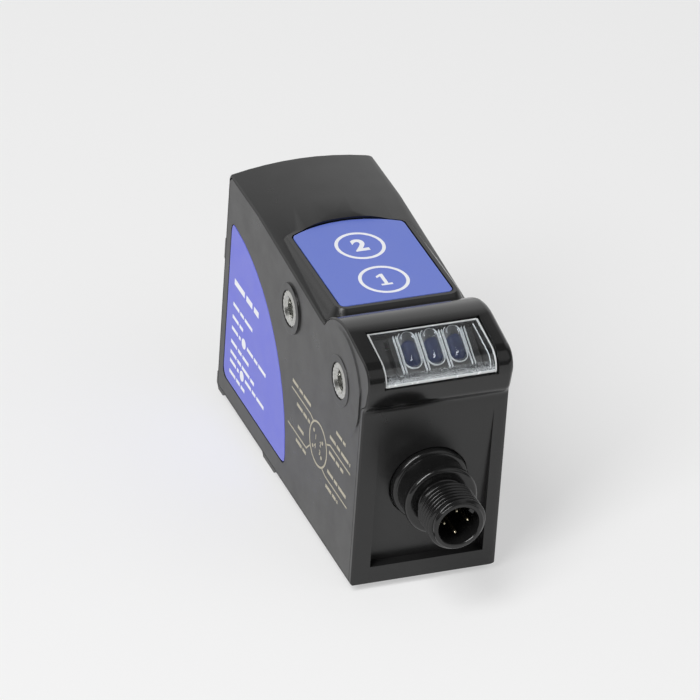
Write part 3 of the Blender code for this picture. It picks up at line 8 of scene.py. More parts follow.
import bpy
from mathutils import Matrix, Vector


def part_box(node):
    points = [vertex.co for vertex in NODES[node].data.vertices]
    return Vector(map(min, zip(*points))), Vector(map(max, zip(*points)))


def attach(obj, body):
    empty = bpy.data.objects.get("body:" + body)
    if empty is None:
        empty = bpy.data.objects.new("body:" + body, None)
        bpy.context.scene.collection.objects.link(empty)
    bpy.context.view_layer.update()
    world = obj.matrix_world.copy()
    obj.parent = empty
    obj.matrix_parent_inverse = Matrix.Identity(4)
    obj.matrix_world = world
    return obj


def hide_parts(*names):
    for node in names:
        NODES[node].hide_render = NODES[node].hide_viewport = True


bl_info = {
    "name": "Color Mark Sensor",
    "version": (1, 0, 0),
    "blender": (4, 5, 0),
    "location": "View3D > Sidebar > Sensor",
    "description": "Builds the visible pieces, the finishes and the studio of a color mark sensor",
    "category": "Object",
}

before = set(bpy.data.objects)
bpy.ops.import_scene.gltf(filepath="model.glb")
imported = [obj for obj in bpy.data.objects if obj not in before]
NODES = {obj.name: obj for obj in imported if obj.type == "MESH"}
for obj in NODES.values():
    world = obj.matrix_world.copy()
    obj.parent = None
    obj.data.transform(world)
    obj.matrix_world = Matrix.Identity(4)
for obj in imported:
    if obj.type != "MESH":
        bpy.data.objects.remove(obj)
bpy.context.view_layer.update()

import math

import bmesh
import bpy
from bpy.props import FloatProperty, FloatVectorProperty, IntProperty, PointerProperty
from bpy.types import Operator, Panel, PropertyGroup
from mathutils import Matrix, Vector
from mathutils.bvhtree import BVHTree

MM = 0.001

# Moulded body, as part.py has it
FRONT_TO_REAR_FEET = 80.4
FOOT_RISE = 1.6
HALF_WIDTH = 15.5
BODY_LENGTH = 78.8
ORIGIN = Vector((0.0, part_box("housing")[1].y - FRONT_TO_REAR_FEET * MM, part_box("housing")[0].z + FOOT_RISE * MM))

# Nose and its indicator window
NOSE_TURN_CENTRE = (2.4, 47.099)
NOSE_TURN_RADIUS = 4.5
NOSE_SLOPE = 10.7
NOSE_LEAN = 10.4
NOSE_SLOPE_TOP = Vector((10.342, 53.179))
WINDOW_MIDDLE = (0.0, 4.158, 49.733)
WINDOW_TILT = 29.1305
WINDOW_HALF_WIDTH = 11.8
WINDOW_RECESS = 0.5
WINDOW_THICKNESS = 1.6
WINDOW_TRIM = 0.65
WINDOW_STEPS = 28
# Clear skin of the pane, and the pale strips along its sides, top and foot: painted highlights of its edges
PANE_SKIN = 0.5
EDGE_HIGHLIGHT_DEPTH = 0.45
EDGE_HIGHLIGHT_SIDE = 0.3
EDGE_HIGHLIGHT_TOP = 0.2
EDGE_HIGHLIGHT_FOOT = 0.46
# Steps down the nose between which the weld's grain lies, and the height of its lower edge
WELD_STEPS = slice(-14, -1)
WELD_FOOT = 46.3
WELD_FADE = 3.4
GUIDE_PITCH = 4.85
GUIDE_WIDTH = 3.6
GUIDE_LENGTH = 8.2
GUIDE_SEAT = -2.35
GUIDE_SHIFT = (1.4, 2.4)

# Keypad, inserts, plug and lens port
KEYPAD_HEIGHT = 51.15
KEYPAD_HALF_WIDTH = 12.0
KEYPAD_FRONT = 23.2
KEYPAD_SIDE_LENGTH = 28.0
KEYPAD_SAG = 3.3
KEYPAD_CORNER = 1.0
KEY_PLACES = (30.8, 44.3)
INSERT_PLACES = (12.7, 41.1)
INSERT_HEIGHT = 40.7
INSERT_BORE = 2.1
INSERT_RADIUS = 3.55
INSERT_COLLAR = 3.78
INSERT_WAIST = 3.15
INSERT_LENGTH = 7.0
INSERT_THREAD_PITCH = 0.8
INSERT_THREAD_TURNS = 6
KNURL_DEPTH = 0.055
BOSS_RISE = 0.4
PLUG_HEIGHT = 21.6
PLUG_TIP = -16.0
PLUG_CORE = 5.36
PLUG_CREST = 5.98
PLUG_THREAD_LENGTH = 7.3
CONTACT_CIRCLE = 2.5
CONTACT_RADIUS = 0.4
CONTACT_TIP = -14.4
CONTACT_END = 6.5
PORT_HEIGHT = 17.4
LENS_MOUTH = BODY_LENGTH + 0.8
LENS_FACE = LENS_MOUTH - 2.2
FILM_THICKNESS = 0.35

# Side cover. Its plate is drawn larger each way than its solid by SEAM_FILL, so that its seam is fine
COVER_THICKNESS = 2.2
COVER_CHAMFER = 0.3
SEAM_FILL = 0.2
LABEL_REAR = 75.6
LABEL_LOW = 4.6
LABEL_RADIUS = 36.2
LABEL_CORNER = 2.4

# Outline of a 1 with a flag and a foot, as shares of its height
FIGURE_ONE = ((-0.28, -0.5), (0.28, -0.5), (0.28, -0.36), (0.09, -0.36), (0.09, 0.5), (-0.05, 0.5), (-0.29, 0.35),
              (-0.29, 0.19), (-0.09, 0.3), (-0.09, -0.36), (-0.28, -0.36))
# Size of a font whose digits are 1 high, and the share of that height by which their strokes are widened
FONT_SIZE = 1.4
DIGIT_WEIGHT = 0.05
# Bars that stand for print: lengths of the words and of the gap between them, as shares of the bars' width
WORD_LENGTHS = (4.4, 2.6, 5.6, 3.4, 1.6)
WORD_GAP = 0.75

# The room's light: white sweep and dim remainder as gloss shows them, and the soft light from front and rear
SKY_WHITE = 1.0
SKY_DARK = 0.12
SKY_FRONT = 0.42
SKY_REAR = 0.12
# Reach of the white sweep: it rises towards the rear and fades upwards, as parts of a direction of length 1
SWEEP_REAR = (0.0, 0.6)
SWEEP_TOP = (0.55, 0.85)
FLOOR_HALF = 6.0
FLOOR_LIFT = 0.48
# Lamps: name, place from the middle of the object, width and height, all in metres, and watts
LAMPS = (("key_lamp", (-0.84, -0.53, 1.13), 0.5, 1.2, 18.5), ("fill_lamp", (1.0, -0.9, 1.1), 1.6, 1.6, 3.8))
LAMP_TARGET = (0.0, 30.0, 25.0)
# Camera, as the fit to the photo's 700 pixels found it: angles in degrees, distance and shift in millimetres
PHOTO_PIXELS = 700.0
CAMERA_AZIMUTH = -22.8445
CAMERA_ELEVATION = 31.5456
CAMERA_ROLL = 4.0607
CAMERA_FOCAL_PIXELS = 7410.63
CAMERA_TARGET = (0.0, 38.0, 28.0)
CAMERA_DISTANCE = 1500.0
CAMERA_SHIFT = (-2.8619, 1.8788)
SENSOR_WIDTH = 36.0

# Meeting points closer than this are one point
MERGE_DISTANCE = 1e-6
# Faces that meet at less than this many degrees are one flat face, and at more than this a corner
FLAT_ANGLE = 0.6
CORNER_ANGLE = 40


def spot(x, y, z):
    """Place in the row frame of a point in the body's own millimetres."""
    return ORIGIN + Vector((x, y, z)) * MM


def linear(code):
    """Scene-linear colour of an sRGB hex value."""
    channels = [int(code[place:place + 2], 16) / 255 for place in (0, 2, 4)]
    return tuple(c / 12.92 if c <= 0.04045 else ((c + 0.055) / 1.055) ** 2.4 for c in channels)


def per_mm(size):
    """Texture scale whose cells measure size in millimetres on Object coordinates in metres."""
    return 1.0 / (size * MM)


def within(value, limits):
    return limits[0] < value < limits[1]


# Sizes and colours that a user would change


def measure(name, description, size):
    """Property of a length, whose first value is given in millimetres."""
    return FloatProperty(name=name, description=description, default=size * MM, subtype="DISTANCE", unit="LENGTH")


def tint(name, description, code):
    """Property of a colour, whose first value is an sRGB hex value."""
    return FloatVectorProperty(name=name, description=description, size=3, subtype="COLOR", default=linear(code))


class SensorSizes(PropertyGroup):
    edge_round: measure("Moulded edge", "Rounding of the moulded edges", 0.16)
    thread_pitch: measure("Plug thread pitch", "Rise of the plug's thread in one turn", 1.0)
    key_ring: measure("Key ring", "Diameter of the printed ring round each key", 10.4)
    ring_line: measure("Ring line", "Width of the printed rings' line", 0.72)
    digit_height: measure("Key digit", "Height of the digits printed on the keys", 4.3)
    ink: measure("Ink", "Thickness that the printed ink stands proud", 0.02)
    knurl_teeth: IntProperty(
        name="Knurl teeth", description="Number of teeth round each threaded insert", default=22)


class SensorColours(PropertyGroup):
    housing: tint("Housing", "Black of the moulded housing and cover", "1b1b1b")
    keypad: tint("Keypad", "Blue of the keypad film", "6679cd")
    side_label: tint("Side label", "Blue of the label on the cover", "6e74d9")
    ink: tint("Key print", "White of the ink on the films", "fafbff")
    cover_ink: tint("Cover print", "Warm grey of the ink on the cover", "c4bda9")


# Finishes


def add_node(tree, kind, settings=None, links=None):
    """Add a node, set its inputs or properties by name, and link the named inputs."""
    node = tree.nodes.new(kind)
    for key, value in (settings or {}).items():
        if isinstance(key, str) and hasattr(node, key):
            setattr(node, key, value)
        else:
            node.inputs[key].default_value = value
    for key, socket in (links or {}).items():
        tree.links.new(socket, node.inputs[key])
    return node


def start_material(name, shader_values):
    """New material, its tree, its shader and the place that its textures follow."""
    material = bpy.data.materials.new(name)
    material.use_nodes = True
    tree = material.node_tree
    shader = tree.nodes["Principled BSDF"]
    for key, value in shader_values.items():
        shader.inputs[key].default_value = value
    return material, tree, shader, add_node(tree, "ShaderNodeTexCoord").outputs["Object"]


def noise(tree, place, size, detail, roughness=0.5):
    """Noise whose cells measure size in millimetres."""
    return add_node(tree, "ShaderNodeTexNoise", {"Scale": per_mm(size), "Detail": detail, "Roughness": roughness},
                    {"Vector": place}).outputs["Fac"]


def ranged(tree, value, source, target, **settings):
    """Value mapped from the source range to the target range."""
    limits = {"From Min": source[0], "From Max": source[1], "To Min": target[0], "To Max": target[1]}
    return add_node(tree, "ShaderNodeMapRange", {**settings, **limits}, {"Value": value}).outputs["Result"]


def combined(tree, operation, one, other, **settings):
    """Sum or product of two values."""
    return add_node(tree, "ShaderNodeMath", {"operation": operation, **settings}, {0: one, 1: other}).outputs[0]


def blended(tree, share, one, other):
    """Make a blend of two shaders the material's surface."""
    blend = add_node(tree, "ShaderNodeMixShader", {}, {0: share, 1: one, 2: other})
    tree.links.new(blend.outputs["Shader"], tree.nodes["Material Output"].inputs["Surface"])


def surface(tree, shader, gloss, height, strength, relief):
    """Drive the shader's roughness by gloss and raise its skin by height, relief millimetres at most."""
    skin = add_node(tree, "ShaderNodeBump", {"Strength": strength, "Distance": relief * MM}, {"Height": height})
    tree.links.new(gloss, shader.inputs["Roughness"])
    tree.links.new(skin.outputs["Normal"], shader.inputs["Normal"])


def mottled(tree, shader, colours, roughness, patches, height, strength, relief):
    """Drift colour and gloss over the patches between two near values, and raise the skin by height."""
    tone = add_node(tree, "ShaderNodeMix", {"data_type": "RGBA", 6: (*colours[0], 1.0), 7: (*colours[1], 1.0)},
                    {0: patches})
    gloss = ranged(tree, patches, (0.3, 0.7), roughness)
    tree.links.new(tone.outputs[2], shader.inputs["Base Color"])
    surface(tree, shader, gloss, height, strength, relief)


def finish(name, colours, roughness, grain, mottle, relief, shader_values=None):
    """Material whose colour mottles between two near shades, whose gloss drifts and whose skin has a grain.

    roughness is the lowest and highest value. grain, mottle and relief are in millimetres.
    """
    material, tree, shader, place = start_material(name, shader_values or {})
    patches = noise(tree, place, mottle, 3.0, 0.6)
    grains = noise(tree, place, grain, 2.0)
    mottled(tree, shader, colours, roughness, patches, grains, 1.0, relief)
    return material


def turned_metal(name, colours, roughness, axis, centre, groove, relief):
    """Metal with fine concentric tool marks about an axis through centre."""
    material, tree, shader, place = start_material(name, METAL)
    shifted = add_node(tree, "ShaderNodeVectorMath", {"operation": "SUBTRACT", 1: tuple(centre)}, {0: place})
    # The texture's phase grows by 20 in a length of 1, so its rings lie tau times groove apart: real tool marks are
    # finer, and these are drawn as coarse as they need to show
    marks = add_node(tree, "ShaderNodeTexWave",
                     {"wave_type": "RINGS", "rings_direction": axis, "Scale": per_mm(groove) / 20,
                      "Distortion": 0.4, "Detail": 2.0}, {"Vector": shifted.outputs[0]})
    patches = noise(tree, place, 0.6, 3.0)
    mottled(tree, shader, colours, roughness, patches, marks.outputs["Fac"], 0.6, relief)
    return material


def clear_material(name, code, roughness, ior, grain, relief):
    """Clear moulding that lets the lamps reach what is behind it."""
    colour = (*linear(code), 1.0)
    material, tree, shader, place = start_material(
        name, {"Base Color": colour, "Transmission Weight": 1.0, "IOR": ior})
    waves = noise(tree, place, grain, 1.0)
    surface(tree, shader, ranged(tree, waves, (0.0, 1.0), roughness), waves, 1.0, relief)
    path = add_node(tree, "ShaderNodeLightPath")
    through = add_node(tree, "ShaderNodeBsdfTransparent", {"Color": colour})
    blended(tree, path.outputs["Is Shadow Ray"], shader.outputs["BSDF"], through.outputs["BSDF"])
    return material


def weld_grain_material():
    """Weld zone of the window: white specks in clear plastic, denser towards the lower edge."""
    material, tree, shader, place = start_material(
        "polycarbonate_weld_grain", {"Base Color": (*linear("e6e8e8"), 1.0), "Roughness": 0.4})
    # The real specks are near 0.05 mm; drawn at 0.16 mm so that they show
    specks = noise(tree, place, 0.16, 2.0, 0.7)
    parts = add_node(tree, "ShaderNodeSeparateXYZ", {}, {"Vector": place})
    foot = spot(0.0, 0.0, WELD_FOOT).z
    fade = ranged(tree, parts.outputs["Z"], (foot, foot + WELD_FADE * MM), (0.13, -0.16))
    raised = combined(tree, "ADD", specks, fade)
    tree.links.new(ranged(tree, raised, (0.47, 0.66), (0.0, 0.85)), shader.inputs["Alpha"])
    return material


def shade(colour, factor):
    return tuple(min(channel * factor, 1.0) for channel in colour)


def pair(*codes):
    return [linear(code) for code in codes]


def near(colour, factor):
    """A user's colour and a slightly lighter or darker one."""
    return tuple(colour), shade(colour, factor)


METAL = {"Metallic": 1.0}
FINISHES = {}


def make_finishes():
    """All the finishes, each named for what the real surface is, save the pale one for painted highlights."""
    own = bpy.context.scene.sensor_colours
    black = tuple(own.housing)
    return {
        # Black ABS from a spark-eroded mould: a fine even grain that spreads highlights to a satin sheen
        "housing": finish("abs_spark_eroded_black", near(black, 1.25), (0.27, 0.36), 0.22, 6.0, 0.006),
        # The same ABS from a polished part of the mould: soft mirror-like streaks with faint flow marks
        "polished": finish("abs_polished_black", (shade(black, 0.6), shade(black, 0.8)), (0.1, 0.18), 0.5, 8.0,
                           0.003),
        # Glass-filled polyamide plug body: deep black, glossier than the housing, slightly cloudy
        "plug": finish("polyamide_glossy_black", pair("121212", "1a1a1a"), (0.13, 0.22), 0.4, 2.0, 0.003),
        # Dull black polyamide of the inner holders
        "holder": finish("polyamide_matt_black", pair("0d0d0d", "151515"), (0.5, 0.62), 0.3, 3.0, 0.01),
        # Polyester film printed blue on its back: an even colour under a finely textured clear skin
        "keypad": finish("polyester_film_blue", near(own.keypad, 1.06), (0.36, 0.44), 0.35, 5.0, 0.004),
        "side_label": finish("polyester_film_violet", near(own.side_label, 1.06), (0.36, 0.46), 0.35, 5.0, 0.004),
        # Screen-printed ink: flat and slightly chalky
        "ink": finish("screen_ink_white", near(own.ink, 0.94), (0.5, 0.6), 0.25, 1.0, 0.002),
        # Pad-printed ink on the cover: thin, so the black below dulls it unevenly
        "cover_ink": finish("pad_ink_warm_grey", near(own.cover_ink, 0.72), (0.5, 0.62), 0.2, 0.5, 0.002),
        # Nitrile rubber: matt, with a slight bloom
        "rubber": finish("nitrile_rubber", pair("141414", "1f1f1f"), (0.72, 0.85), 0.2, 1.5, 0.012),
        # Acetal keys and plungers: waxy off-white
        "key": finish("acetal_natural", pair("c4c3bd", "cdccc6"), (0.35, 0.45), 0.4, 3.0, 0.004,
                      {"Subsurface Weight": 0.1}),
        # Moulded switch bodies: plain black with a low sheen
        "switch": finish("pbt_black", pair("1a1a1a", "222222"), (0.4, 0.5), 0.3, 2.0, 0.006),
        # Circuit board: green solder mask over copper, which shows as lighter lands
        "board": finish("fr4_solder_mask", pair("0f4a26", "1c6a38"), (0.3, 0.45), 0.8, 1.6, 0.01),
        # The indicators' board has a black mask, so that only the lamps show through the window
        "black_board": finish("fr4_black_mask", pair("0e0f10", "17181a"), (0.3, 0.45), 0.6, 1.6, 0.008),
        # Moulded epoxy of the processor: charcoal, finely sandy
        "chip": finish("epoxy_chip_body", pair("1b1b1c", "242425"), (0.45, 0.6), 0.15, 1.0, 0.006),
        # Nickel-plated brass: warm silver, a little cloudy from handling
        "nickel": finish("nickel_plated_brass", pair("dadad6", "8f8f8b"), (0.1, 0.3), 0.16, 0.4, 0.02, METAL),
        # Zinc-plated screws: cooler and duller than the nickel
        "steel": finish("zinc_plated_steel", pair("b8bcc2", "a4a9b0"), (0.28, 0.42), 0.12, 0.8, 0.006, METAL),
        # Gold-plated contacts: bright and pale, with fine turning marks
        "gold": finish("gold_plated_contact", pair("e8dfc6", "dacfae"), (0.2, 0.3), 0.1, 0.5, 0.003, METAL),
        # Nickel cans of the lamp and the receiver: yellowish silver
        "diode": finish("nickel_diode_can", pair("b9b5a8", "a5a194"), (0.2, 0.34), 0.15, 1.0, 0.004, METAL),
        # Black anodised aluminium, turned: fine rings that draw a highlight into a streak
        "anodised": turned_metal("anodised_aluminium_black", pair("1d1d1f", "28282b"), (0.26, 0.4), "Y",
                                 spot(0.0, 0.0, PORT_HEIGHT), 0.12, 0.006),
        # Injection-moulded polycarbonate: clear with a faint orange-peel
        "clear": clear_material("polycarbonate_clear", "f6f8fa", (0.0, 0.05), 1.585, 2.5, 0.002),
        # Pale, partly clear plastic for thin strips that stand for bright edge lines: painted highlights
        "painted_highlight": finish("pale_polycarbonate_painted_highlight", pair("e4e8e8", "f6f8f8"), (0.12, 0.3), 0.25, 0.9, 0.01,
                          {"Transmission Weight": 0.3, "IOR": 1.585}),
        # Blue-grey tinted epoxy in the foot of each pod: dark and glossy until its lamp lights
        "led_lens": finish("epoxy_tinted_blue_grey", pair("141a2e", "303a5c"), (0.05, 0.12), 0.5, 0.9, 0.003,
                           {"Coat Weight": 0.6}),
        "weld_grain": weld_grain_material(),
        # Coated optical glass: clear with a faint violet bloom
        "glass": clear_material("optical_glass_coated", "eef0fb", (0.0, 0.02), 1.517, 4.0, 0.0005),
    }


# Mesh helpers


def merged(bm):
    bmesh.ops.remove_doubles(bm, verts=bm.verts[:], dist=MERGE_DISTANCE)


def node_copy(node):
    """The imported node's solid, merged and with its flat faces whole again."""
    bm = bmesh.new()
    bm.from_mesh(NODES[node].data)
    merged(bm)
    bmesh.ops.dissolve_limit(bm, angle_limit=math.radians(FLAT_ANGLE), verts=bm.verts[:], edges=bm.edges[:])
    for face in bm.faces:
        face.material_index = 0
    return bm


def finish_piece(name, bm, materials, slot, replaced=(), rounding=0.0, sharp=32.0, recalculate=True):
    """Turn a bmesh into a piece that rides on the body and stands for its nodes."""
    merged(bm)
    if recalculate:
        bmesh.ops.recalc_face_normals(bm, faces=bm.faces[:])
    mesh = bpy.data.meshes.new(name)
    bm.to_mesh(mesh)
    bm.free()
    mesh.shade_smooth()
    mesh.set_sharp_from_angle(angle=math.radians(sharp))
    for material in materials:
        mesh.materials.append(FINISHES[material])
    piece = bpy.data.objects.new(name, mesh)
    bpy.context.scene.collection.objects.link(piece)
    if rounding:
        bevel = piece.modifiers.new("edge_round", "BEVEL")
        bevel.width = rounding
        bevel.segments = 3
        bevel.limit_method = "ANGLE"
        bevel.angle_limit = math.radians(sharp)
        bevel.use_clamp_overlap = True
        bevel.miter_outer = "MITER_ARC"
        smooth = piece.modifiers.new("even_normals", "WEIGHTED_NORMAL")
        smooth.keep_sharp = True
    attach(piece, "root")
    if replaced:
        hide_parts(*replaced)


def lined(bm, points, closed=True):
    """Vertices on points and the edges from each to the next, back to the first where the line is closed."""
    verts = [bm.verts.new(point) for point in points]
    following = verts[1:] + verts[:1] if closed else verts[1:]
    return verts, [bm.edges.new(ends) for ends in zip(verts, following)]


def bridged(bm, rings):
    """Skin between each ring of edges and the next."""
    for one, other in zip(rings, rings[1:]):
        bmesh.ops.bridge_loops(bm, edges=one + other)


def turned(profile, axis, centre, steps):
    """Mesh of a profile of (radius, place along the axis) in millimetres, turned about an axis through centre.

    The profile is closed, unless both its ends lie on the axis.
    """
    bm = bmesh.new()
    along = {"X": Vector((1, 0, 0)), "Y": Vector((0, 1, 0))}[axis]
    points = [centre + (Vector((0, 0, 1)) * radius + along * place) * MM for radius, place in profile]
    verts, edges = lined(bm, points, profile[0][0] > 0.0 or profile[-1][0] > 0.0)
    bmesh.ops.spin(bm, geom=verts + edges, cent=centre, axis=along, angle=math.tau, steps=steps, use_merge=True)
    merged(bm)
    return bm


def coil(section, start, along, pitch, turns, steps):
    """Mesh of a section of (radius, place along the axis) in millimetres, swept along a helix from start."""
    bm = bmesh.new()
    face = bm.faces.new([bm.verts.new(start + (Vector((0, 0, 1)) * reach + along * place) * MM)
                         for reach, place in section])
    bmesh.ops.spin(bm, geom=[face], cent=start, axis=along, dvec=along * pitch * MM / steps,
                   angle=math.tau * turns, steps=round(steps * turns))
    return bm


def thicken(bm, faces, push):
    """Make faces a solid by pushing a copy of them out."""
    grown = bmesh.ops.extrude_face_region(bm, geom=faces, use_keep_orig=True)
    moved = [part for part in grown["geom"] if isinstance(part, bmesh.types.BMVert)]
    bmesh.ops.translate(bm, verts=moved, vec=push)


def prism(bm, points, push):
    """Close points to a face and push it out to a solid."""
    thicken(bm, [bm.faces.new([bm.verts.new(point) for point in points])], push)


def film(points, push, corner):
    """Thin plate, pushed out from points by its thickness, with its corners rounded in millimetres."""
    bm = bmesh.new()
    prism(bm, points, push)
    along = push.normalized()
    across = [edge for edge in bm.edges
              if abs((edge.verts[0].co - edge.verts[1].co).dot(along)) > push.length / 2]
    corners = [edge for edge in across if edge.calc_face_angle(0.0) > math.radians(CORNER_ANGLE)]
    bmesh.ops.bevel(bm, geom=corners, offset=corner * MM, affect="EDGES", segments=6, profile=0.5, material=-1)
    return bm


def block(bm, low, high, matrix):
    """Box between two corners in millimetres, then moved by matrix."""
    size = (Vector(high) - Vector(low)) * MM
    middle = (Vector(high) + Vector(low)) / 2 * MM
    place = matrix @ Matrix.Translation(middle) @ Matrix.Diagonal((*size, 1.0))
    bmesh.ops.create_cube(bm, size=1.0, matrix=place)


def arc(centre, radius, start, stop, steps):
    """Points on an arc, with angles in degrees."""
    turns = [math.radians(start + (stop - start) * step / steps) for step in range(steps + 1)]
    return [(centre[0] + radius * math.cos(angle), centre[1] + radius * math.sin(angle)) for angle in turns]


def digit_mesh(text, height):
    """Flat mesh of a plain digit, centred on the origin in X and Y."""
    curve = bpy.data.curves.new("digit", "FONT")
    curve.body = text
    curve.align_x = "CENTER"
    curve.align_y = "CENTER"
    curve.size = height * FONT_SIZE
    curve.offset = height * DIGIT_WEIGHT
    curve.resolution_u = 6
    holder = bpy.data.objects.new("digit", curve)
    mesh = bpy.data.meshes.new_from_object(holder)
    bpy.data.objects.remove(holder)
    bpy.data.curves.remove(curve)
    return mesh


# Plane of the keypad: X to the right, Y to the rear. Plane of the cover: X to the front, Y up
KEYPAD_PLANE = Matrix.Translation(spot(0.0, 0.0, KEYPAD_HEIGHT))
COVER_TURN = Matrix(((0.0, 0.0, -1.0), (-1.0, 0.0, 0.0), (0.0, 1.0, 0.0))).to_4x4()
COVER_PLANE = Matrix.Translation(spot(-HALF_WIDTH, 0.0, 0.0)) @ COVER_TURN


class Print:
    """Ink on one of the two planes: flat shapes in the plane's millimetres, half sunk and half proud."""

    def __init__(self, matrix, ink):
        self.bm = bmesh.new()
        self.matrix = matrix
        self.normal = matrix.to_3x3() @ Vector((0.0, 0.0, 1.0))
        self.ink = ink

    def thicken(self, faces):
        thicken(self.bm, faces, self.matrix.to_3x3() @ Vector((0.0, 0.0, 2 * self.ink)))

    def area(self, points):
        face = self.bm.faces.new([self.bm.verts.new(self.matrix @ Vector((x * MM, y * MM, -self.ink)))
                                  for x, y in points])
        self.thicken([face])

    def ring(self, centre, radius, line, steps=64):
        """Ring with a rectangular section, turned about the plane's normal."""
        hub = self.matrix @ Vector((centre[0] * MM, centre[1] * MM, 0.0))
        side = self.matrix.to_3x3() @ Vector((1, 0, 0))
        section = ((radius - line, -self.ink), (radius, -self.ink), (radius, self.ink), (radius - line, self.ink))
        verts, edges = lined(self.bm, [hub + side * reach * MM + self.normal * rise for reach, rise in section])
        bmesh.ops.spin(self.bm, geom=verts + edges, cent=hub, axis=self.normal, angle=math.tau, steps=steps,
                       use_merge=True)

    def disc(self, centre, radius, steps=24):
        self.area(arc(centre, radius, 0.0, 360.0 * (steps - 1) / steps, steps - 1))

    def bar(self, start, stop, width):
        """Straight line of ink between two points."""
        along = Vector(stop) - Vector(start)
        side = Vector((-along.y, along.x)).normalized() * width / 2
        self.area([Vector(start) - side, Vector(stop) - side, Vector(stop) + side, Vector(start) + side])

    def words(self, start, length, width):
        """Row of short bars, as long as words are, that stands for a line of print."""
        place = start[0]
        stop = start[0] + length
        for word in WORD_LENGTHS * 8:
            end = min(place + word * width, stop)
            if end - place > width / 2:
                self.bar((place, start[1]), (end, start[1]), width)
            place = end + WORD_GAP * width

    def digit(self, text, centre, height):
        mesh = digit_mesh(text, height * MM)
        before = set(self.bm.verts)
        self.bm.from_mesh(mesh)
        bpy.data.meshes.remove(mesh)
        new = [vert for vert in self.bm.verts if vert not in before]
        faces = {face for vert in new for face in vert.link_faces}
        shift = Matrix.Translation((centre[0] * MM, centre[1] * MM, -self.ink))
        bmesh.ops.transform(self.bm, matrix=self.matrix @ shift, verts=new)
        self.thicken(list(faces))


# Operators, one for each piece or group of like pieces


class SENSOR_OT_housing(Operator):
    """Moulded housing with rounded edges and a glossier nose"""
    bl_idname = "sensor.housing"
    bl_label = "Housing"
    # Polished parts of the mould, as limits of a face's place in millimetres and of its normal
    nose_rear, nose_foot, nose_side = 20.0, 41.0, 0.7
    flank_y, flank_z, flank_up, flank_reach = (24.5, 51.0), (47.4, KEYPAD_HEIGHT), (0.15, 0.9), 14.8
    rear_y, rear_z, rear_turn = (50.0, 62.0), (50.6, 52.4), -0.4

    def execute(self, context):
        bm = node_copy("housing")
        for face in bm.faces:
            if self.polished((face.calc_center_median() - ORIGIN) / MM, face.normal):
                face.material_index = 1
        finish_piece("sensor_housing", bm, ("housing", "polished"), "housing_plastic", ("housing",),
                     context.scene.sensor_sizes.edge_round, sharp=30.0, recalculate=False)
        return {"FINISHED"}

    def polished(self, place, outward):
        """Whether a face lies on the nose, on a flank of the keypad's frame or on the wall behind the keypad."""
        nose = place.y < self.nose_rear and place.z > self.nose_foot and abs(outward.x) < self.nose_side
        flank = (within(place.y, self.flank_y) and within(place.z, self.flank_z)
                 and within(outward.z, self.flank_up) and abs(place.x) < self.flank_reach)
        rear = within(place.y, self.rear_y) and within(place.z, self.rear_z) and outward.y < self.rear_turn
        return nose or flank or rear


class SENSOR_OT_side_cover(Operator):
    """Side cover with its ear, its bosses and the label's pocket"""
    bl_idname = "sensor.side_cover"
    bl_label = "Side Cover"
    # Rounding of the cover's edges, as a share of the housing's
    round_share = 0.7
    # Least share of a normal that lies in the plate, for a face of its outline
    least_in_plate = 0.4
    # Normals whose product is over this point the same way, and a corner's mean normal counts as at least this
    same_way = 0.999
    least_mean = 0.5
    # Slack at the plate's skin, and the start of the ray that looks for the plate's own other faces
    slack = 0.02
    ray_start = 0.05

    def execute(self, context):
        bm = node_copy("side_cover")
        self.fill_seam(bm)
        finish_piece("sensor_side_cover", bm, ("housing",), "housing_plastic", ("side_cover",),
                     context.scene.sensor_sizes.edge_round * self.round_share, sharp=30.0, recalculate=False)
        return {"FINISHED"}

    def fill_seam(self, bm):
        """Move the plate's outline out into its fit gap and square its chamfer, which leaves a fine seam."""
        skin = spot(-HALF_WIDTH, 0.0, 0.0).x
        tree = BVHTree.FromBMesh(bm)
        outward = {}
        for face in bm.faces:
            flat = Vector((0.0, face.normal.y, face.normal.z))
            middle = face.calc_center_median()
            in_plate = skin - self.slack * MM < middle.x < skin + COVER_THICKNESS * MM
            if flat.length < self.least_in_plate or not in_plate:
                continue
            flat.normalize()
            if tree.ray_cast(middle + flat * self.ray_start * MM, flat)[0] is not None:
                continue
            for vert in face.verts:
                known = outward.setdefault(vert, [])
                if all(flat.dot(other) < self.same_way for other in known):
                    known.append(flat)
        for vert, normals in outward.items():
            mean = sum(normals, Vector()) / len(normals)
            chamfer = min(max((skin - vert.co.x) / MM + COVER_CHAMFER, 0.0), COVER_CHAMFER)
            vert.co += mean / max(mean.length_squared, self.least_mean) * (SEAM_FILL + chamfer) * MM


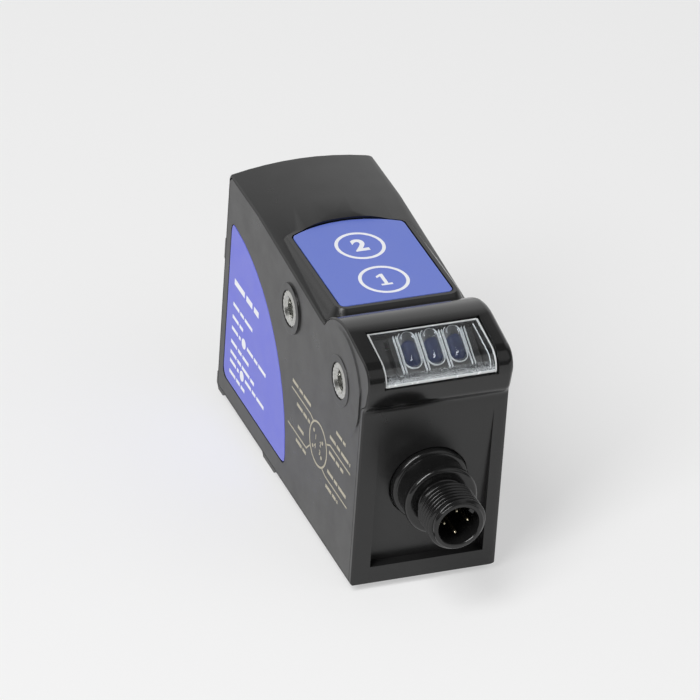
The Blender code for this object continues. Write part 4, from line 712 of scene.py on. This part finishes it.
class SENSOR_OT_inserts(Operator):
    """Four knurled and threaded sleeves in the sides"""
    bl_idname = "sensor.inserts"
    bl_label = "Threaded Inserts"
    # Half section of a sleeve, as (radius, depth): its mouth, its knurled collar, its waist and its inner end
    section = ((INSERT_BORE, 0.6), (2.55, 0.12), (2.7, 0.0), (3.25, 0.0), (INSERT_COLLAR, 0.2), (INSERT_COLLAR, 2.3),
               (INSERT_WAIST, 2.4), (INSERT_WAIST, 4.6), (INSERT_RADIUS, 4.7), (INSERT_RADIUS, INSERT_LENGTH),
               (2.5, INSERT_LENGTH), (INSERT_BORE, 6.6))
    # Section of the thread, whose base lies just inside the sleeve
    thread_section = ((2.2, 0.0), (2.2, 0.7), (1.95, 0.42), (1.95, 0.28))
    thread_start = 0.8

    def execute(self, context):
        teeth = context.scene.sensor_sizes.knurl_teeth
        places = [(side, y) for side in (-1, 1) for y in INSERT_PLACES]
        for number, (side, y) in enumerate(places, start=1):
            face = side * (HALF_WIDTH + BOSS_RISE)
            centre = spot(0.0, y, INSERT_HEIGHT)
            profile = [(radius, face - side * deep) for radius, deep in self.section]
            bm = turned(profile, "X", centre, teeth * 6)
            self.knurl(bm, centre, teeth)
            finish_piece(f"knurled_insert_{number}", bm, ("nickel",), "nickel_plate",
                         (f"threaded_insert_{number}",), sharp=24.0)

            # Inner M5 thread
            inwards = Vector((1, 0, 0)) * -side
            start = Vector((face * MM + centre.x, centre.y, centre.z)) + inwards * self.thread_start * MM
            bm = coil(self.thread_section, start, inwards, INSERT_THREAD_PITCH, INSERT_THREAD_TURNS, 40)
            finish_piece(f"insert_thread_{number}", bm, ("nickel",), "nickel_plate", sharp=40.0)
        return {"FINISHED"}

    @staticmethod
    def knurl(bm, centre, teeth):
        """Cut the outer skin to teeth by drawing every other strip inwards."""
        for vert in bm.verts:
            reach = Vector((vert.co.y - centre.y, vert.co.z - centre.z))
            if reach.length > (INSERT_WAIST + 0.05) * MM:
                wave = math.cos(math.atan2(reach.y, reach.x) * teeth)
                drawn = reach * (1.0 - KNURL_DEPTH * (0.5 - 0.5 * wave))
                vert.co.y = centre.y + drawn.x
                vert.co.z = centre.z + drawn.y


class SENSOR_OT_keypad(Operator):
    """Keypad film with two printed rings and their key numbers"""
    bl_idname = "sensor.keypad"
    bl_label = "Keypad"

    def execute(self, context):
        sizes = context.scene.sensor_sizes
        half = KEYPAD_HALF_WIDTH
        radius = (half ** 2 + KEYPAD_SAG ** 2) / (2 * KEYPAD_SAG)
        reach = math.degrees(math.asin(half / radius))
        centre = (0.0, KEYPAD_FRONT + KEYPAD_SIDE_LENGTH + KEYPAD_SAG - radius)
        outline = arc(centre, radius, 90.0 - reach, 90.0 + reach, 40)
        outline += [(-half, KEYPAD_FRONT), (half, KEYPAD_FRONT)]
        points = [spot(x, y, KEYPAD_HEIGHT - FILM_THICKNESS) for x, y in outline]
        bm = film(points, Vector((0, 0, FILM_THICKNESS * MM)), KEYPAD_CORNER)
        finish_piece("keypad_film", bm, ("keypad",), "keypad_print", ("keypad_label",), rounding=0.06 * MM,
                     sharp=40.0)

        height = sizes.digit_height / MM
        for number, y in enumerate(KEY_PLACES, start=1):
            circle = Print(KEYPAD_PLANE, sizes.ink)
            circle.ring((0.0, y), sizes.key_ring / MM / 2, sizes.ring_line / MM)
            finish_piece(f"key_ring_print_{number}", circle.bm, ("ink",), "keypad_print")
            figure = Print(KEYPAD_PLANE, sizes.ink)
            if number == 1:
                figure.area([(across * height, y + up * height) for across, up in FIGURE_ONE])
            else:
                figure.digit(str(number), (0.0, y), height)
            finish_piece(f"key_digit_print_{number}", figure.bm, ("ink",), "keypad_print")
        return {"FINISHED"}


class SENSOR_OT_side_label(Operator):
    """Quarter-disc label on the cover, with plain bars and key marks"""
    bl_idname = "sensor.side_label"
    bl_label = "Side Label"
    # Print: its left edge, the heading's height, length and width, and the lines' heights and lengths
    left = -72.2
    heading = (28.9, 14.2, 1.35)
    lines = ((23.6, 11.4), (20.6, 6.4), (14.7, 10.4), (12.2, 14.0), (7.5, 9.0))
    line_width = 0.8
    # Lines with a round key mark in them: heights, length before the mark, the mark's place and radius, and the
    # place and length after it
    marked_lines = (17.9, 10.1)
    before_mark = 5.2
    mark = (7.0, 1.15)
    after_mark = (9.0, 11.0)

    def execute(self, context):
        outline = [(LABEL_REAR, LABEL_LOW)] + arc((LABEL_REAR, LABEL_LOW), LABEL_RADIUS, 90.0, 180.0, 64)
        points = [COVER_PLANE @ Vector((-y * MM, z * MM, -FILM_THICKNESS * MM)) for y, z in outline]
        bm = film(points, Vector((-FILM_THICKNESS * MM, 0, 0)), LABEL_CORNER)
        finish_piece("side_label_film", bm, ("side_label",), "side_print", ("side_label",), rounding=0.05 * MM,
                     sharp=40.0)

        text = Print(COVER_PLANE, context.scene.sensor_sizes.ink)
        height, length, width = self.heading
        text.words((self.left, height), length, width)
        for height, length in self.lines:
            text.words((self.left, height), length, self.line_width)
        for height in self.marked_lines:
            text.words((self.left, height), self.before_mark, self.line_width)
            text.disc((self.left + self.mark[0], height), self.mark[1], 32)
            text.words((self.left + self.after_mark[0], height), self.after_mark[1], self.line_width)
        finish_piece("side_label_print", text.bm, ("ink",), "side_print")
        return {"FINISHED"}


class SENSOR_OT_cover_print(Operator):
    """Plug diagram printed on the cover: ring, four contacts, numbers and plain bars"""
    bl_idname = "sensor.cover_print"
    bl_label = "Cover Print"
    hub = (-21.9, 20.1)
    ring = (5.0, 0.44)
    contacts = ((-2.6, 1.9), (2.2, 1.5), (2.0, -2.1), (-2.8, -1.9))
    contact_radius = 0.42
    # A number stands at this share of its contact's way from the hub, a little lowered
    number_share = 0.55
    number_drop = 0.2
    number_height = 1.1
    # Leads from the ring to their words, each with one bend
    leads = (((-26.0, 17.5), (-28.0, 15.5), (-38.6, 15.5)), ((-17.4, 22.8), (-15.6, 23.7), (-4.3, 23.7)),
             ((-25.2, 23.8), (-26.8, 24.3), (-37.7, 24.3)), ((-19.1, 16.0), (-17.1, 15.4), (-4.9, 15.4)))
    lead_width = 0.34
    # Rows of words, as start, end and height
    rows = ((-37.4, -27.0, 26.1), (-34.4, -26.9, 22.2), (-33.1, -29.2, 17.6), (-33.7, -27.8, 14.1),
            (-12.9, -7.7, 28.5), (-16.0, -4.6, 25.6), (-15.9, -7.9, 22.0), (-16.2, -5.1, 17.4), (-16.6, -9.8, 13.7))
    row_width = 0.74

    def execute(self, context):
        text = Print(COVER_PLANE, context.scene.sensor_sizes.ink)
        text.ring(self.hub, *self.ring, 48)
        for number, (across, up) in enumerate(self.contacts, start=1):
            text.disc((self.hub[0] + across, self.hub[1] + up), self.contact_radius)
            place = (self.hub[0] + across * self.number_share,
                     self.hub[1] + up * self.number_share - self.number_drop)
            text.digit(str(number), place, self.number_height)
        for first, bend, last in self.leads:
            text.bar(first, bend, self.lead_width)
            text.bar(bend, last, self.lead_width)
        for first, last, height in self.rows:
            text.words((first, height), last - first, self.row_width)
        finish_piece("cover_print", text.bm, ("cover_ink",), "housing_plastic")
        return {"FINISHED"}


def nose_skin(offset):
    """Line down the nose along the window, moved outwards by offset, as (y, z) in millimetres."""
    slope = math.radians(NOSE_SLOPE)
    normal = Vector((-math.sin(slope), math.cos(slope)))
    downhill = Vector((-math.cos(slope), -math.sin(slope)))
    first = NOSE_SLOPE_TOP + downhill * WINDOW_TRIM + normal * offset
    stop = 180.0 + NOSE_LEAN - math.degrees(WINDOW_TRIM / NOSE_TURN_RADIUS)
    return [tuple(first)] + arc(NOSE_TURN_CENTRE, NOSE_TURN_RADIUS + offset, 90.0 + NOSE_SLOPE, stop, WINDOW_STEPS)


class SENSOR_OT_window(Operator):
    """Clear indicator window that follows the nose, with painted highlights along its edges and a grainy weld at its
    foot
    """
    bl_idname = "sensor.window"
    bl_label = "Indicator Window"
    # Gap beside the pane, and how far the pale strips of painted highlight along its edges stand proud of it
    pane_gap = 0.05
    rim_rise = 0.03
    # Pale strips at the inner edges, painted highlights, as places from the right and the left end of the window,
    # and their height
    inner_right, inner_left, inner_height = (-0.95, -0.8), (0.55, 0.65), 0.2
    # Weld's grain: its gaps to the window's ends, and its thickness, which is also its depth under the skin
    grain_gaps = (0.3, 0.36)
    grain_thickness = 0.05

    def execute(self, context):
        half = WINDOW_HALF_WIDTH
        top = -WINDOW_RECESS
        under = top - PANE_SKIN
        self.piece("indicator_pane", "clear",
                   [((-half + self.pane_gap, half - self.pane_gap), nose_skin(top), nose_skin(under))],
                   replaced=("indicator_window",), sharp=30.0)

        # Painted highlights of the moulded edges: pale strips that are widest at the foot, a hair proud of the pane
        outer = nose_skin(top + self.rim_rise)
        inner = nose_skin(top - EDGE_HIGHLIGHT_DEPTH)
        strips = [((-half, -half + EDGE_HIGHLIGHT_SIDE), outer, inner), ((half - EDGE_HIGHLIGHT_SIDE, half), outer, inner)]
        for end, after, width in ((0, 1, EDGE_HIGHLIGHT_TOP), (-1, -2, EDGE_HIGHLIGHT_FOOT)):
            step = (Vector(outer[after]) - Vector(outer[end])).normalized() * width
            ends = [Vector(outer[end]), Vector(inner[end])]
            strips.append(((-half + EDGE_HIGHLIGHT_SIDE, half - EDGE_HIGHLIGHT_SIDE), [ends[0], ends[0] + step],
                           [ends[1], ends[1] + step]))
        self.piece("pane_edge_highlights", "painted_highlight", strips, rounding=0.08 * MM)

        # Painted highlights of the inner edges, seen through the pane as a second and fainter line
        depth = top - WINDOW_THICKNESS
        self.piece("pane_inner_edge_highlights", "painted_highlight",
                   [((end + low, end + high), nose_skin(depth + self.inner_height), nose_skin(depth))
                    for end, (low, high) in ((half, self.inner_right), (-half, self.inner_left))], sharp=40.0)

        # Weld's grain, just under the clear skin
        self.piece("pane_weld_grain", "weld_grain",
                   [((-half + self.grain_gaps[0], half - self.grain_gaps[1]),
                     nose_skin(under - self.grain_thickness)[WELD_STEPS],
                     nose_skin(under - 2 * self.grain_thickness)[WELD_STEPS])], sharp=30.0)
        return {"FINISHED"}

    @staticmethod
    def piece(name, material, strips, **options):
        """Piece of solids that each lie between two lines down the nose, from one place across to another."""
        bm = bmesh.new()
        for (low, high), outer, inner in strips:
            points = [spot(low, *point) for point in outer + inner[::-1]]
            prism(bm, points, Vector(((high - low) * MM, 0, 0)))
        finish_piece(name, bm, (material,), "clear_plastic", **options)


WINDOW_FRAME = (Matrix.Translation(spot(*WINDOW_MIDDLE)) @ Matrix.Rotation(math.radians(WINDOW_TILT), 4, "X")
                @ Matrix.Translation((GUIDE_SHIFT[0] * MM, GUIDE_SHIFT[1] * MM, 0.0)))


class SENSOR_OT_light_guides(Operator):
    """Three clear pods with tinted cores, and pale strips that paint the highlights of their rims, domes and the
    walls between their cells
    """
    bl_idname = "sensor.light_guides"
    bl_label = "Light Guides"
    # Base under the pods: how far it reaches past them, its ends along the window and its thickness
    base_margin = 0.55
    base_ends = (-5.6, 3.4)
    base_thickness = 1.0
    # Each wall is drawn only as two thin pale strips, painted highlights: their places beside the wall's middle and
    # their widths, then the widths at the last wall, which the photo shows thinner
    wall_lines = ((-0.34, 0.11, 0.04), (0.28, 0.06, 0.03))
    wall_ends = (-5.1, 3.2)
    wall_height = 0.8
    # Domes of the pod and of the tinted core in it: width, length, rise, how far the top draws in, and shift
    pod_dome = (GUIDE_WIDTH - 0.3, GUIDE_LENGTH - 0.3, 1.6, 1.75, 0.0)
    core_dome = (GUIDE_WIDTH - 0.9, 5.5, 1.15, 1.0, -0.9)
    dome_steps = 9
    # Sections of the pale arc that paints the dome's highlight and of the rim, as (way inwards, rise), and where
    # each one's outline starts
    bead_inset = 0.5
    bead_section = ((0.0, 0.9), (0.0, 1.0), (0.11, 1.0), (0.11, 0.9))
    rim_reach = 0.1
    rim_section = ((0.0, 0.02), (0.0, 0.42), (0.08, 0.48), (0.16, 0.42), (0.17, 0.02))

    def execute(self, context):
        bm = bmesh.new()
        reach = GUIDE_PITCH + GUIDE_WIDTH / 2 + self.base_margin
        block(bm, (-reach - GUIDE_SHIFT[0], self.base_ends[0], GUIDE_SEAT - self.base_thickness),
              (reach, self.base_ends[1], GUIDE_SEAT), WINDOW_FRAME)
        finish_piece("light_guide_base", bm, ("holder",), "clear_plastic", ("light_guide",), rounding=0.15 * MM)

        # Each pod's rim and the arc where its dome turns over are pale: painted highlights
        for number, x in enumerate((-GUIDE_PITCH, 0.0, GUIDE_PITCH), start=1):
            for part, mesh, material in (("pod", self.dome(x, *self.pod_dome), "clear"),
                                         ("rim", self.rim(x), "painted_highlight"), ("bead", self.bead(x), "painted_highlight"),
                                         ("core", self.dome(x, *self.core_dome), "led_lens")):
                finish_piece(f"light_guide_{part}_{number}", mesh, (material,), "clear_plastic", sharp=50.0)

        # Walls between the cells, drawn only as pale strips: painted highlights
        bm = bmesh.new()
        for place in (-1.5, -0.5, 0.5, 1.5):
            x = place * GUIDE_PITCH
            for shift, width, last_width in self.wall_lines:
                line = last_width if place == 1.5 else width
                block(bm, (x + shift, self.wall_ends[0], GUIDE_SEAT + 0.02),
                      (x + shift + line, self.wall_ends[1], GUIDE_SEAT + self.wall_height), WINDOW_FRAME)
        finish_piece("light_guide_wall_highlights", bm, ("painted_highlight",), "clear_plastic", rounding=0.03 * MM)
        return {"FINISHED"}

    @staticmethod
    def line(bm, points, rise, closed=True):
        """Edges along points of the window's plane, at a height over the pods' seat."""
        return lined(bm, [WINDOW_FRAME @ (Vector((x, y, GUIDE_SEAT + rise)) * MM) for x, y in points], closed)[1]

    def stadium(self, bm, x, width, length, rise, shift=0.0):
        """Closed line round a stadium outline."""
        radius = width / 2
        offset = (length - width) / 2
        points = arc((x, shift + offset), radius, 0.0, 180.0, 16)
        points += arc((x, shift - offset), radius, 180.0, 360.0, 16)
        return self.line(bm, points, rise)

    def dome(self, x, width, length, rise, inset, shift):
        """Long dome: stadium outlines that shrink along a quarter ellipse, bridged to one skin."""
        bm = bmesh.new()
        levels = [(0.02, 0.0)]
        for step in range(1, self.dome_steps):
            angle = step * math.pi / 2 / self.dome_steps
            levels.append((rise * math.sin(angle), (1 - math.cos(angle)) * inset))
        rings = [self.stadium(bm, x, width - 2 * drawn, length - 2 * drawn, high, shift) for high, drawn in levels]
        bridged(bm, rings)
        for end in (rings[0], rings[-1]):
            bmesh.ops.contextual_create(bm, geom=end)
        return bm

    def bead(self, x):
        """Pale arc where the pod's dome turns over, at its far end: a painted highlight."""
        bm = bmesh.new()
        radius = GUIDE_WIDTH / 2 - self.bead_inset
        centre = (x, (GUIDE_LENGTH - GUIDE_WIDTH) / 2)
        rings = [self.line(bm, arc(centre, radius - drawn, -10.0, 190.0, 24), rise, closed=False)
                 for drawn, rise in self.bead_section]
        bridged(bm, rings + rings[:1])
        bmesh.ops.holes_fill(bm, edges=bm.edges[:], sides=4)
        return bm

    def rim(self, x):
        """Narrow raised rim round the foot of a pod, pale as a painted highlight of its outline."""
        bm = bmesh.new()
        rings = [self.stadium(bm, x, GUIDE_WIDTH + 2 * (self.rim_reach - inset),
                              GUIDE_LENGTH + 2 * (self.rim_reach - inset), rise)
                 for inset, rise in self.rim_section]
        bridged(bm, rings + rings[:1])
        return bm


class SENSOR_OT_plug(Operator):
    """Turned plug body with its thread, coding key and four contacts"""
    bl_idname = "sensor.plug"
    bl_label = "Plug"
    # Half section as (radius, place): bore's mouth, tip, thread's core, neck, flange, collar and inner end
    section = ((4.25, -15.7), (4.31, -15.88), (4.45, PLUG_TIP), (5.0, PLUG_TIP), (5.14, -15.96), (5.24, -15.86),
               (5.28, -15.7), (PLUG_CORE, -14.95), (PLUG_CORE, -7.9), (5.3, -7.7), (5.0, -7.6), (5.0, -6.95),
               (5.15, -6.8), *arc((6.8, -5.95), 0.85, -90.0, 0.0, 8), (7.65, -5.5), (7.63, -5.34), (7.57, -5.22),
               (7.45, -5.13), (7.3, -5.1), (7.25, -5.05), (7.2, -4.9), (7.2, -1.0), (7.24, -0.86),
               *arc((7.35, -0.05), 0.75, -90.0, 0.0, 8), (8.1, 1.6), (6.5, 1.6), (6.5, 10.6), (4.3, 10.6))
    # Coding key in the bore, between two corners, and the contact's rounded tip as (radius, place from the tip)
    key = ((-0.65, -15.3, 3.5), (0.65, -6.8, 4.5))
    contact_end = ((0.0, 0.0), (0.12, 0.03), (0.22, 0.12), (0.3, 0.28), (0.37, 0.55), (CONTACT_RADIUS, 0.95))
    # The thread starts this far out, its base lies this deep in the core, and its section has this many steps
    thread_start = 7.7
    thread_root = 0.1
    thread_points = 10
    thread_steps = 72

    def execute(self, context):
        centre = spot(0.0, 0.0, PLUG_HEIGHT)
        finish_piece("plug_body", turned(self.section, "Y", centre, 96), ("plug",), "plug_plastic",
                     ("plug_shell",), sharp=35.0)

        bm = bmesh.new()
        block(bm, *self.key, Matrix.Translation(centre) @ Matrix.Rotation(math.pi / 4, 4, "Y"))
        finish_piece("plug_key", bm, ("plug",), "plug_plastic", rounding=0.12 * MM)
        self.thread(centre, context.scene.sensor_sizes.thread_pitch / MM)

        contact = [(radius, CONTACT_TIP + place) for radius, place in self.contact_end]
        contact += [(CONTACT_RADIUS, CONTACT_END), (0.0, CONTACT_END)]
        for number in range(4):
            angle = number * math.pi / 2
            hub = spot(CONTACT_CIRCLE * math.cos(angle), 0.0, PLUG_HEIGHT + CONTACT_CIRCLE * math.sin(angle))
            finish_piece(f"contact_{number + 1}", turned(contact, "Y", hub, 24), ("gold",), "gold_plate",
                         (f"contact_pin_{number + 1}",), sharp=35.0)
        return {"FINISHED"}

    def thread(self, centre, pitch):
        """Outer thread as one coil whose crest fades in and out over a third of a turn."""
        along = Vector((0, -1, 0))
        base = PLUG_CORE - self.thread_root
        shares = [step / self.thread_points for step in range(self.thread_points + 1)]
        section = [(base + (PLUG_CREST - base) * math.sin(math.pi * share) ** 1.2, 0.98 * pitch * share)
                   for share in shares]
        bm = coil(section, centre + along * self.thread_start * MM, along, pitch, PLUG_THREAD_LENGTH / pitch,
                  self.thread_steps)
        fade = self.thread_steps // 3 * len(section)
        count = len(bm.verts)
        for place, vert in enumerate(bm.verts):
            share = min(place / fade, (count - 1 - place) / fade, 1.0)
            radial = Vector((vert.co.x - centre.x, 0.0, vert.co.z - centre.z))
            over = radial.length - base * MM
            if over > 0 and share < 1.0:
                vert.co -= radial.normalized() * over * (1.0 - share)
        finish_piece("plug_thread", bm, ("plug",), "plug_plastic", sharp=60.0)


class SENSOR_OT_lens(Operator):
    """Lens barrel, coated objective and retaining ring in the rear port"""
    bl_idname = "sensor.lens"
    bl_label = "Lens"
    # Half section of the barrel as (radius, place): body in the port, flange on the rear wall and bore
    tube = ((4.7, 71.4), (7.7, 71.4), (7.7, BODY_LENGTH), (9.2, BODY_LENGTH), (9.2, LENS_MOUTH - 0.3),
            (9.08, LENS_MOUTH - 0.08), (8.9, LENS_MOUTH), (6.5, LENS_MOUTH), (6.25, LENS_MOUTH - 0.25),
            (6.2, LENS_MOUTH - 4.1), (4.7, LENS_MOUTH - 4.1))
    # Objective: radius of its bulge, rise of the bulge, radius and thickness of its rim
    bulge_radius, bulge_rise, glass_radius, glass_thickness = 4.8, 1.0, 5.9, 1.6
    ring = ((5.1, 0.3), (5.9, 0.3), (5.9, 1.3), (5.2, 1.3), (5.1, 1.2))

    def execute(self, context):
        centre = spot(0.0, 0.0, PORT_HEIGHT)
        shares = [1 - step / 10 for step in range(11)]
        bulge = [(self.bulge_radius * share, LENS_FACE + self.bulge_rise * (1 - share ** 2)) for share in shares]
        glass = [(0.0, LENS_FACE - self.glass_thickness), (self.glass_radius, LENS_FACE - self.glass_thickness),
                 (self.glass_radius, LENS_FACE), *bulge]
        ring = [(radius, LENS_FACE + place) for radius, place in self.ring]
        for name, profile, steps, material, slot, node in (
                ("lens_tube", self.tube, 96, "anodised", "black_anodised", "lens_barrel"),
                ("objective", glass, 64, "glass", "lens_glass", "objective_lens"),
                ("lens_ring", ring, 72, "anodised", "black_anodised", "lens_retainer")):
            finish_piece(name, turned(profile, "Y", centre, steps), (material,), slot, (node,), sharp=30.0)
        return {"FINISHED"}


class SENSOR_OT_blanking_cap(Operator):
    """Cap with a coin slot in the bottom port"""
    bl_idname = "sensor.blanking_cap"
    bl_label = "Blanking Cap"

    def execute(self, context):
        finish_piece("port_cap", node_copy("blanking_cap"), ("plug",), "plug_plastic", ("blanking_cap",),
                     rounding=0.1 * MM, sharp=35.0, recalculate=False)
        return {"FINISHED"}


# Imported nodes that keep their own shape, by finish. A name stands for all the nodes that start with it
NODE_FINISHES = {
    "rubber": ("cover_gasket", "plug_seal", "lens_seal", "cap_seal"), "key": ("key_pusher", "switch_plunger"),
    "switch": ("key_switch",), "board": ("keypad_board", "plug_board", "main_board"),
    "black_board": ("indicator_board",), "steel": ("keypad_screw", "board_screw"),
    "holder": ("light_guide_holder", "contact_carrier", "optics_block"), "led_lens": ("status_led",),
    "nickel": ("plug_nut",), "glass": ("beam_splitter",), "diode": ("light_source", "receiver"),
    "chip": ("processor",),
}


class SENSOR_OT_inner_parts(Operator):
    """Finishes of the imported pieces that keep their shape"""
    bl_idname = "sensor.inner_parts"
    bl_label = "Inner Parts"

    def execute(self, context):
        for name, node in NODES.items():
            for material, starts in NODE_FINISHES.items():
                if name.startswith(starts):
                    node.data.materials.clear()
                    node.data.materials.append(FINISHES[material])
        return {"FINISHED"}


class SENSOR_OT_finishes(Operator):
    """Materials of all the pieces"""
    bl_idname = "sensor.finishes"
    bl_label = "Finishes"

    def execute(self, context):
        FINISHES.update(make_finishes())
        return {"FINISHED"}


def looked_at(tree):
    """1 where the camera, a gloss or a clear piece looks, and 0 where light only falls."""
    path = add_node(tree, "ShaderNodeLightPath")
    gloss = combined(tree, "ADD", path.outputs["Is Camera Ray"], path.outputs["Is Glossy Ray"])
    return combined(tree, "ADD", gloss, path.outputs["Is Transmission Ray"], use_clamp=True)


class SENSOR_OT_stage(Operator):
    """Pale floor, soft studio lamps, the room's light and the camera"""
    bl_idname = "sensor.stage"
    bl_label = "Stage"

    def execute(self, context):
        scene = context.scene
        scene.view_settings.view_transform = "Standard"
        self.floor(scene)
        self.lamps(scene)
        self.room(scene)
        self.camera(scene)
        return {"FINISHED"}

    def floor(self, scene):
        bm = bmesh.new()
        bmesh.ops.create_grid(bm, x_segments=1, y_segments=1, size=FLOOR_HALF)
        mesh = bpy.data.meshes.new("floor")
        bm.to_mesh(mesh)
        bm.free()
        # Matt white card: a faint mottle keeps it from looking like a flat fill
        card = finish("white_card", pair("f2f2f2", "f5f5f5"), (0.8, 0.9), 1.0, 400.0, 0.0,
                      {"Specular IOR Level": 0.2})
        self.lift(card)
        mesh.materials.append(card)
        floor = bpy.data.objects.new("floor", mesh)
        scene.collection.objects.link(floor)

    @staticmethod
    def lift(card):
        """Let part of the floor's white be its own where it is looked at, so that shadows stay light on it."""
        tree = card.node_tree
        share = add_node(tree, "ShaderNodeMath", {"operation": "MULTIPLY", 1: FLOOR_LIFT}, {0: looked_at(tree)})
        white = add_node(tree, "ShaderNodeEmission", {"Color": (*linear("fbfbfb"), 1.0)})
        blended(tree, share.outputs[0], tree.nodes["Principled BSDF"].outputs["BSDF"], white.outputs["Emission"])

    @staticmethod
    def lamps(scene):
        for name, place, width, height, power in LAMPS:
            light = bpy.data.lights.new(name, "AREA")
            light.shape = "RECTANGLE"
            light.size = width
            light.size_y = height
            light.energy = power
            lamp = bpy.data.objects.new(name, light)
            lamp.location = Vector(place) + spot(*LAMP_TARGET)
            lamp.rotation_euler = (-Vector(place)).to_track_quat("-Z", "Y").to_euler()
            lamp.visible_camera = False
            scene.collection.objects.link(lamp)

    @staticmethod
    def room(scene):
        """White sweep behind the object and a dim room above and in front, with a soft light for matt surfaces."""
        world = bpy.data.worlds.new("studio")
        scene.world = world
        world.use_nodes = True
        tree = world.node_tree
        background = tree.nodes["Background"]
        background.inputs["Color"].default_value = (1.0, 1.0, 1.0, 1.0)
        towards = add_node(tree, "ShaderNodeTexCoord").outputs["Generated"]
        parts = add_node(tree, "ShaderNodeSeparateXYZ", {}, {"Vector": towards})
        rear = ranged(tree, parts.outputs["Y"], SWEEP_REAR, (0.0, 1.0), interpolation_type="SMOOTHSTEP")
        low = ranged(tree, parts.outputs["Z"], SWEEP_TOP, (1.0, 0.0), interpolation_type="SMOOTHSTEP")
        seen = ranged(tree, combined(tree, "MULTIPLY", rear, low), (0.0, 1.0), (SKY_DARK, SKY_WHITE))
        soft = ranged(tree, parts.outputs["Y"], (-1.0, 1.0), (SKY_FRONT, SKY_REAR))
        strength = add_node(tree, "ShaderNodeMix", {"data_type": "FLOAT"}, {0: looked_at(tree), 2: soft, 3: seen})
        tree.links.new(strength.outputs[0], background.inputs["Strength"])

    @staticmethod
    def camera(scene):
        """Long lens, above and to the left of the plug end."""
        azimuth, elevation, roll = (math.radians(angle) for angle in (CAMERA_AZIMUTH, CAMERA_ELEVATION, CAMERA_ROLL))
        back = Vector((math.sin(azimuth) * math.cos(elevation), -math.cos(azimuth) * math.cos(elevation),
                       math.sin(elevation)))
        level = Vector((math.cos(azimuth), math.sin(azimuth), 0.0))
        upright = back.cross(level)
        right = math.cos(roll) * level + math.sin(roll) * upright
        up = -math.sin(roll) * level + math.cos(roll) * upright
        data = bpy.data.cameras.new("camera")
        data.sensor_width = SENSOR_WIDTH
        data.lens = CAMERA_FOCAL_PIXELS * SENSOR_WIDTH / PHOTO_PIXELS
        data.clip_start = 0.05
        data.clip_end = 20.0
        camera = bpy.data.objects.new("camera", data)
        place = Matrix((right, up, back)).transposed().to_4x4()
        away = back * CAMERA_DISTANCE + right * CAMERA_SHIFT[0] + up * CAMERA_SHIFT[1]
        place.translation = spot(*CAMERA_TARGET) + away * MM
        camera.matrix_world = place
        scene.collection.objects.link(camera)
        scene.camera = camera


class SENSOR_PT_panel(Panel):
    bl_idname = "SENSOR_PT_panel"
    bl_label = "Color Mark Sensor"
    bl_space_type = "VIEW_3D"
    bl_region_type = "UI"
    bl_category = "Sensor"

    def draw(self, context):
        for group in (context.scene.sensor_sizes, context.scene.sensor_colours):
            box = self.layout.box()
            for name in group.bl_rna.properties.keys():
                if name not in {"rna_type", "name"}:
                    box.prop(group, name)
        for operator in OPERATORS:
            self.layout.operator(operator.bl_idname)


OPERATORS = (
    SENSOR_OT_finishes, SENSOR_OT_stage, SENSOR_OT_housing, SENSOR_OT_side_cover, SENSOR_OT_inserts,
    SENSOR_OT_keypad, SENSOR_OT_side_label, SENSOR_OT_cover_print, SENSOR_OT_window, SENSOR_OT_light_guides,
    SENSOR_OT_plug, SENSOR_OT_lens, SENSOR_OT_blanking_cap, SENSOR_OT_inner_parts,
)
CLASSES = (SensorSizes, SensorColours, *OPERATORS, SENSOR_PT_panel)


def register():
    for entry in CLASSES:
        bpy.utils.register_class(entry)
    bpy.types.Scene.sensor_sizes = PointerProperty(type=SensorSizes)
    bpy.types.Scene.sensor_colours = PointerProperty(type=SensorColours)


def unregister():
    del bpy.types.Scene.sensor_colours
    del bpy.types.Scene.sensor_sizes
    for entry in reversed(CLASSES):
        bpy.utils.unregister_class(entry)


def main():
    register()
    for operator in OPERATORS:
        group, name = operator.bl_idname.split(".")
        getattr(getattr(bpy.ops, group), name)()


if __name__ == "__main__":
    main()
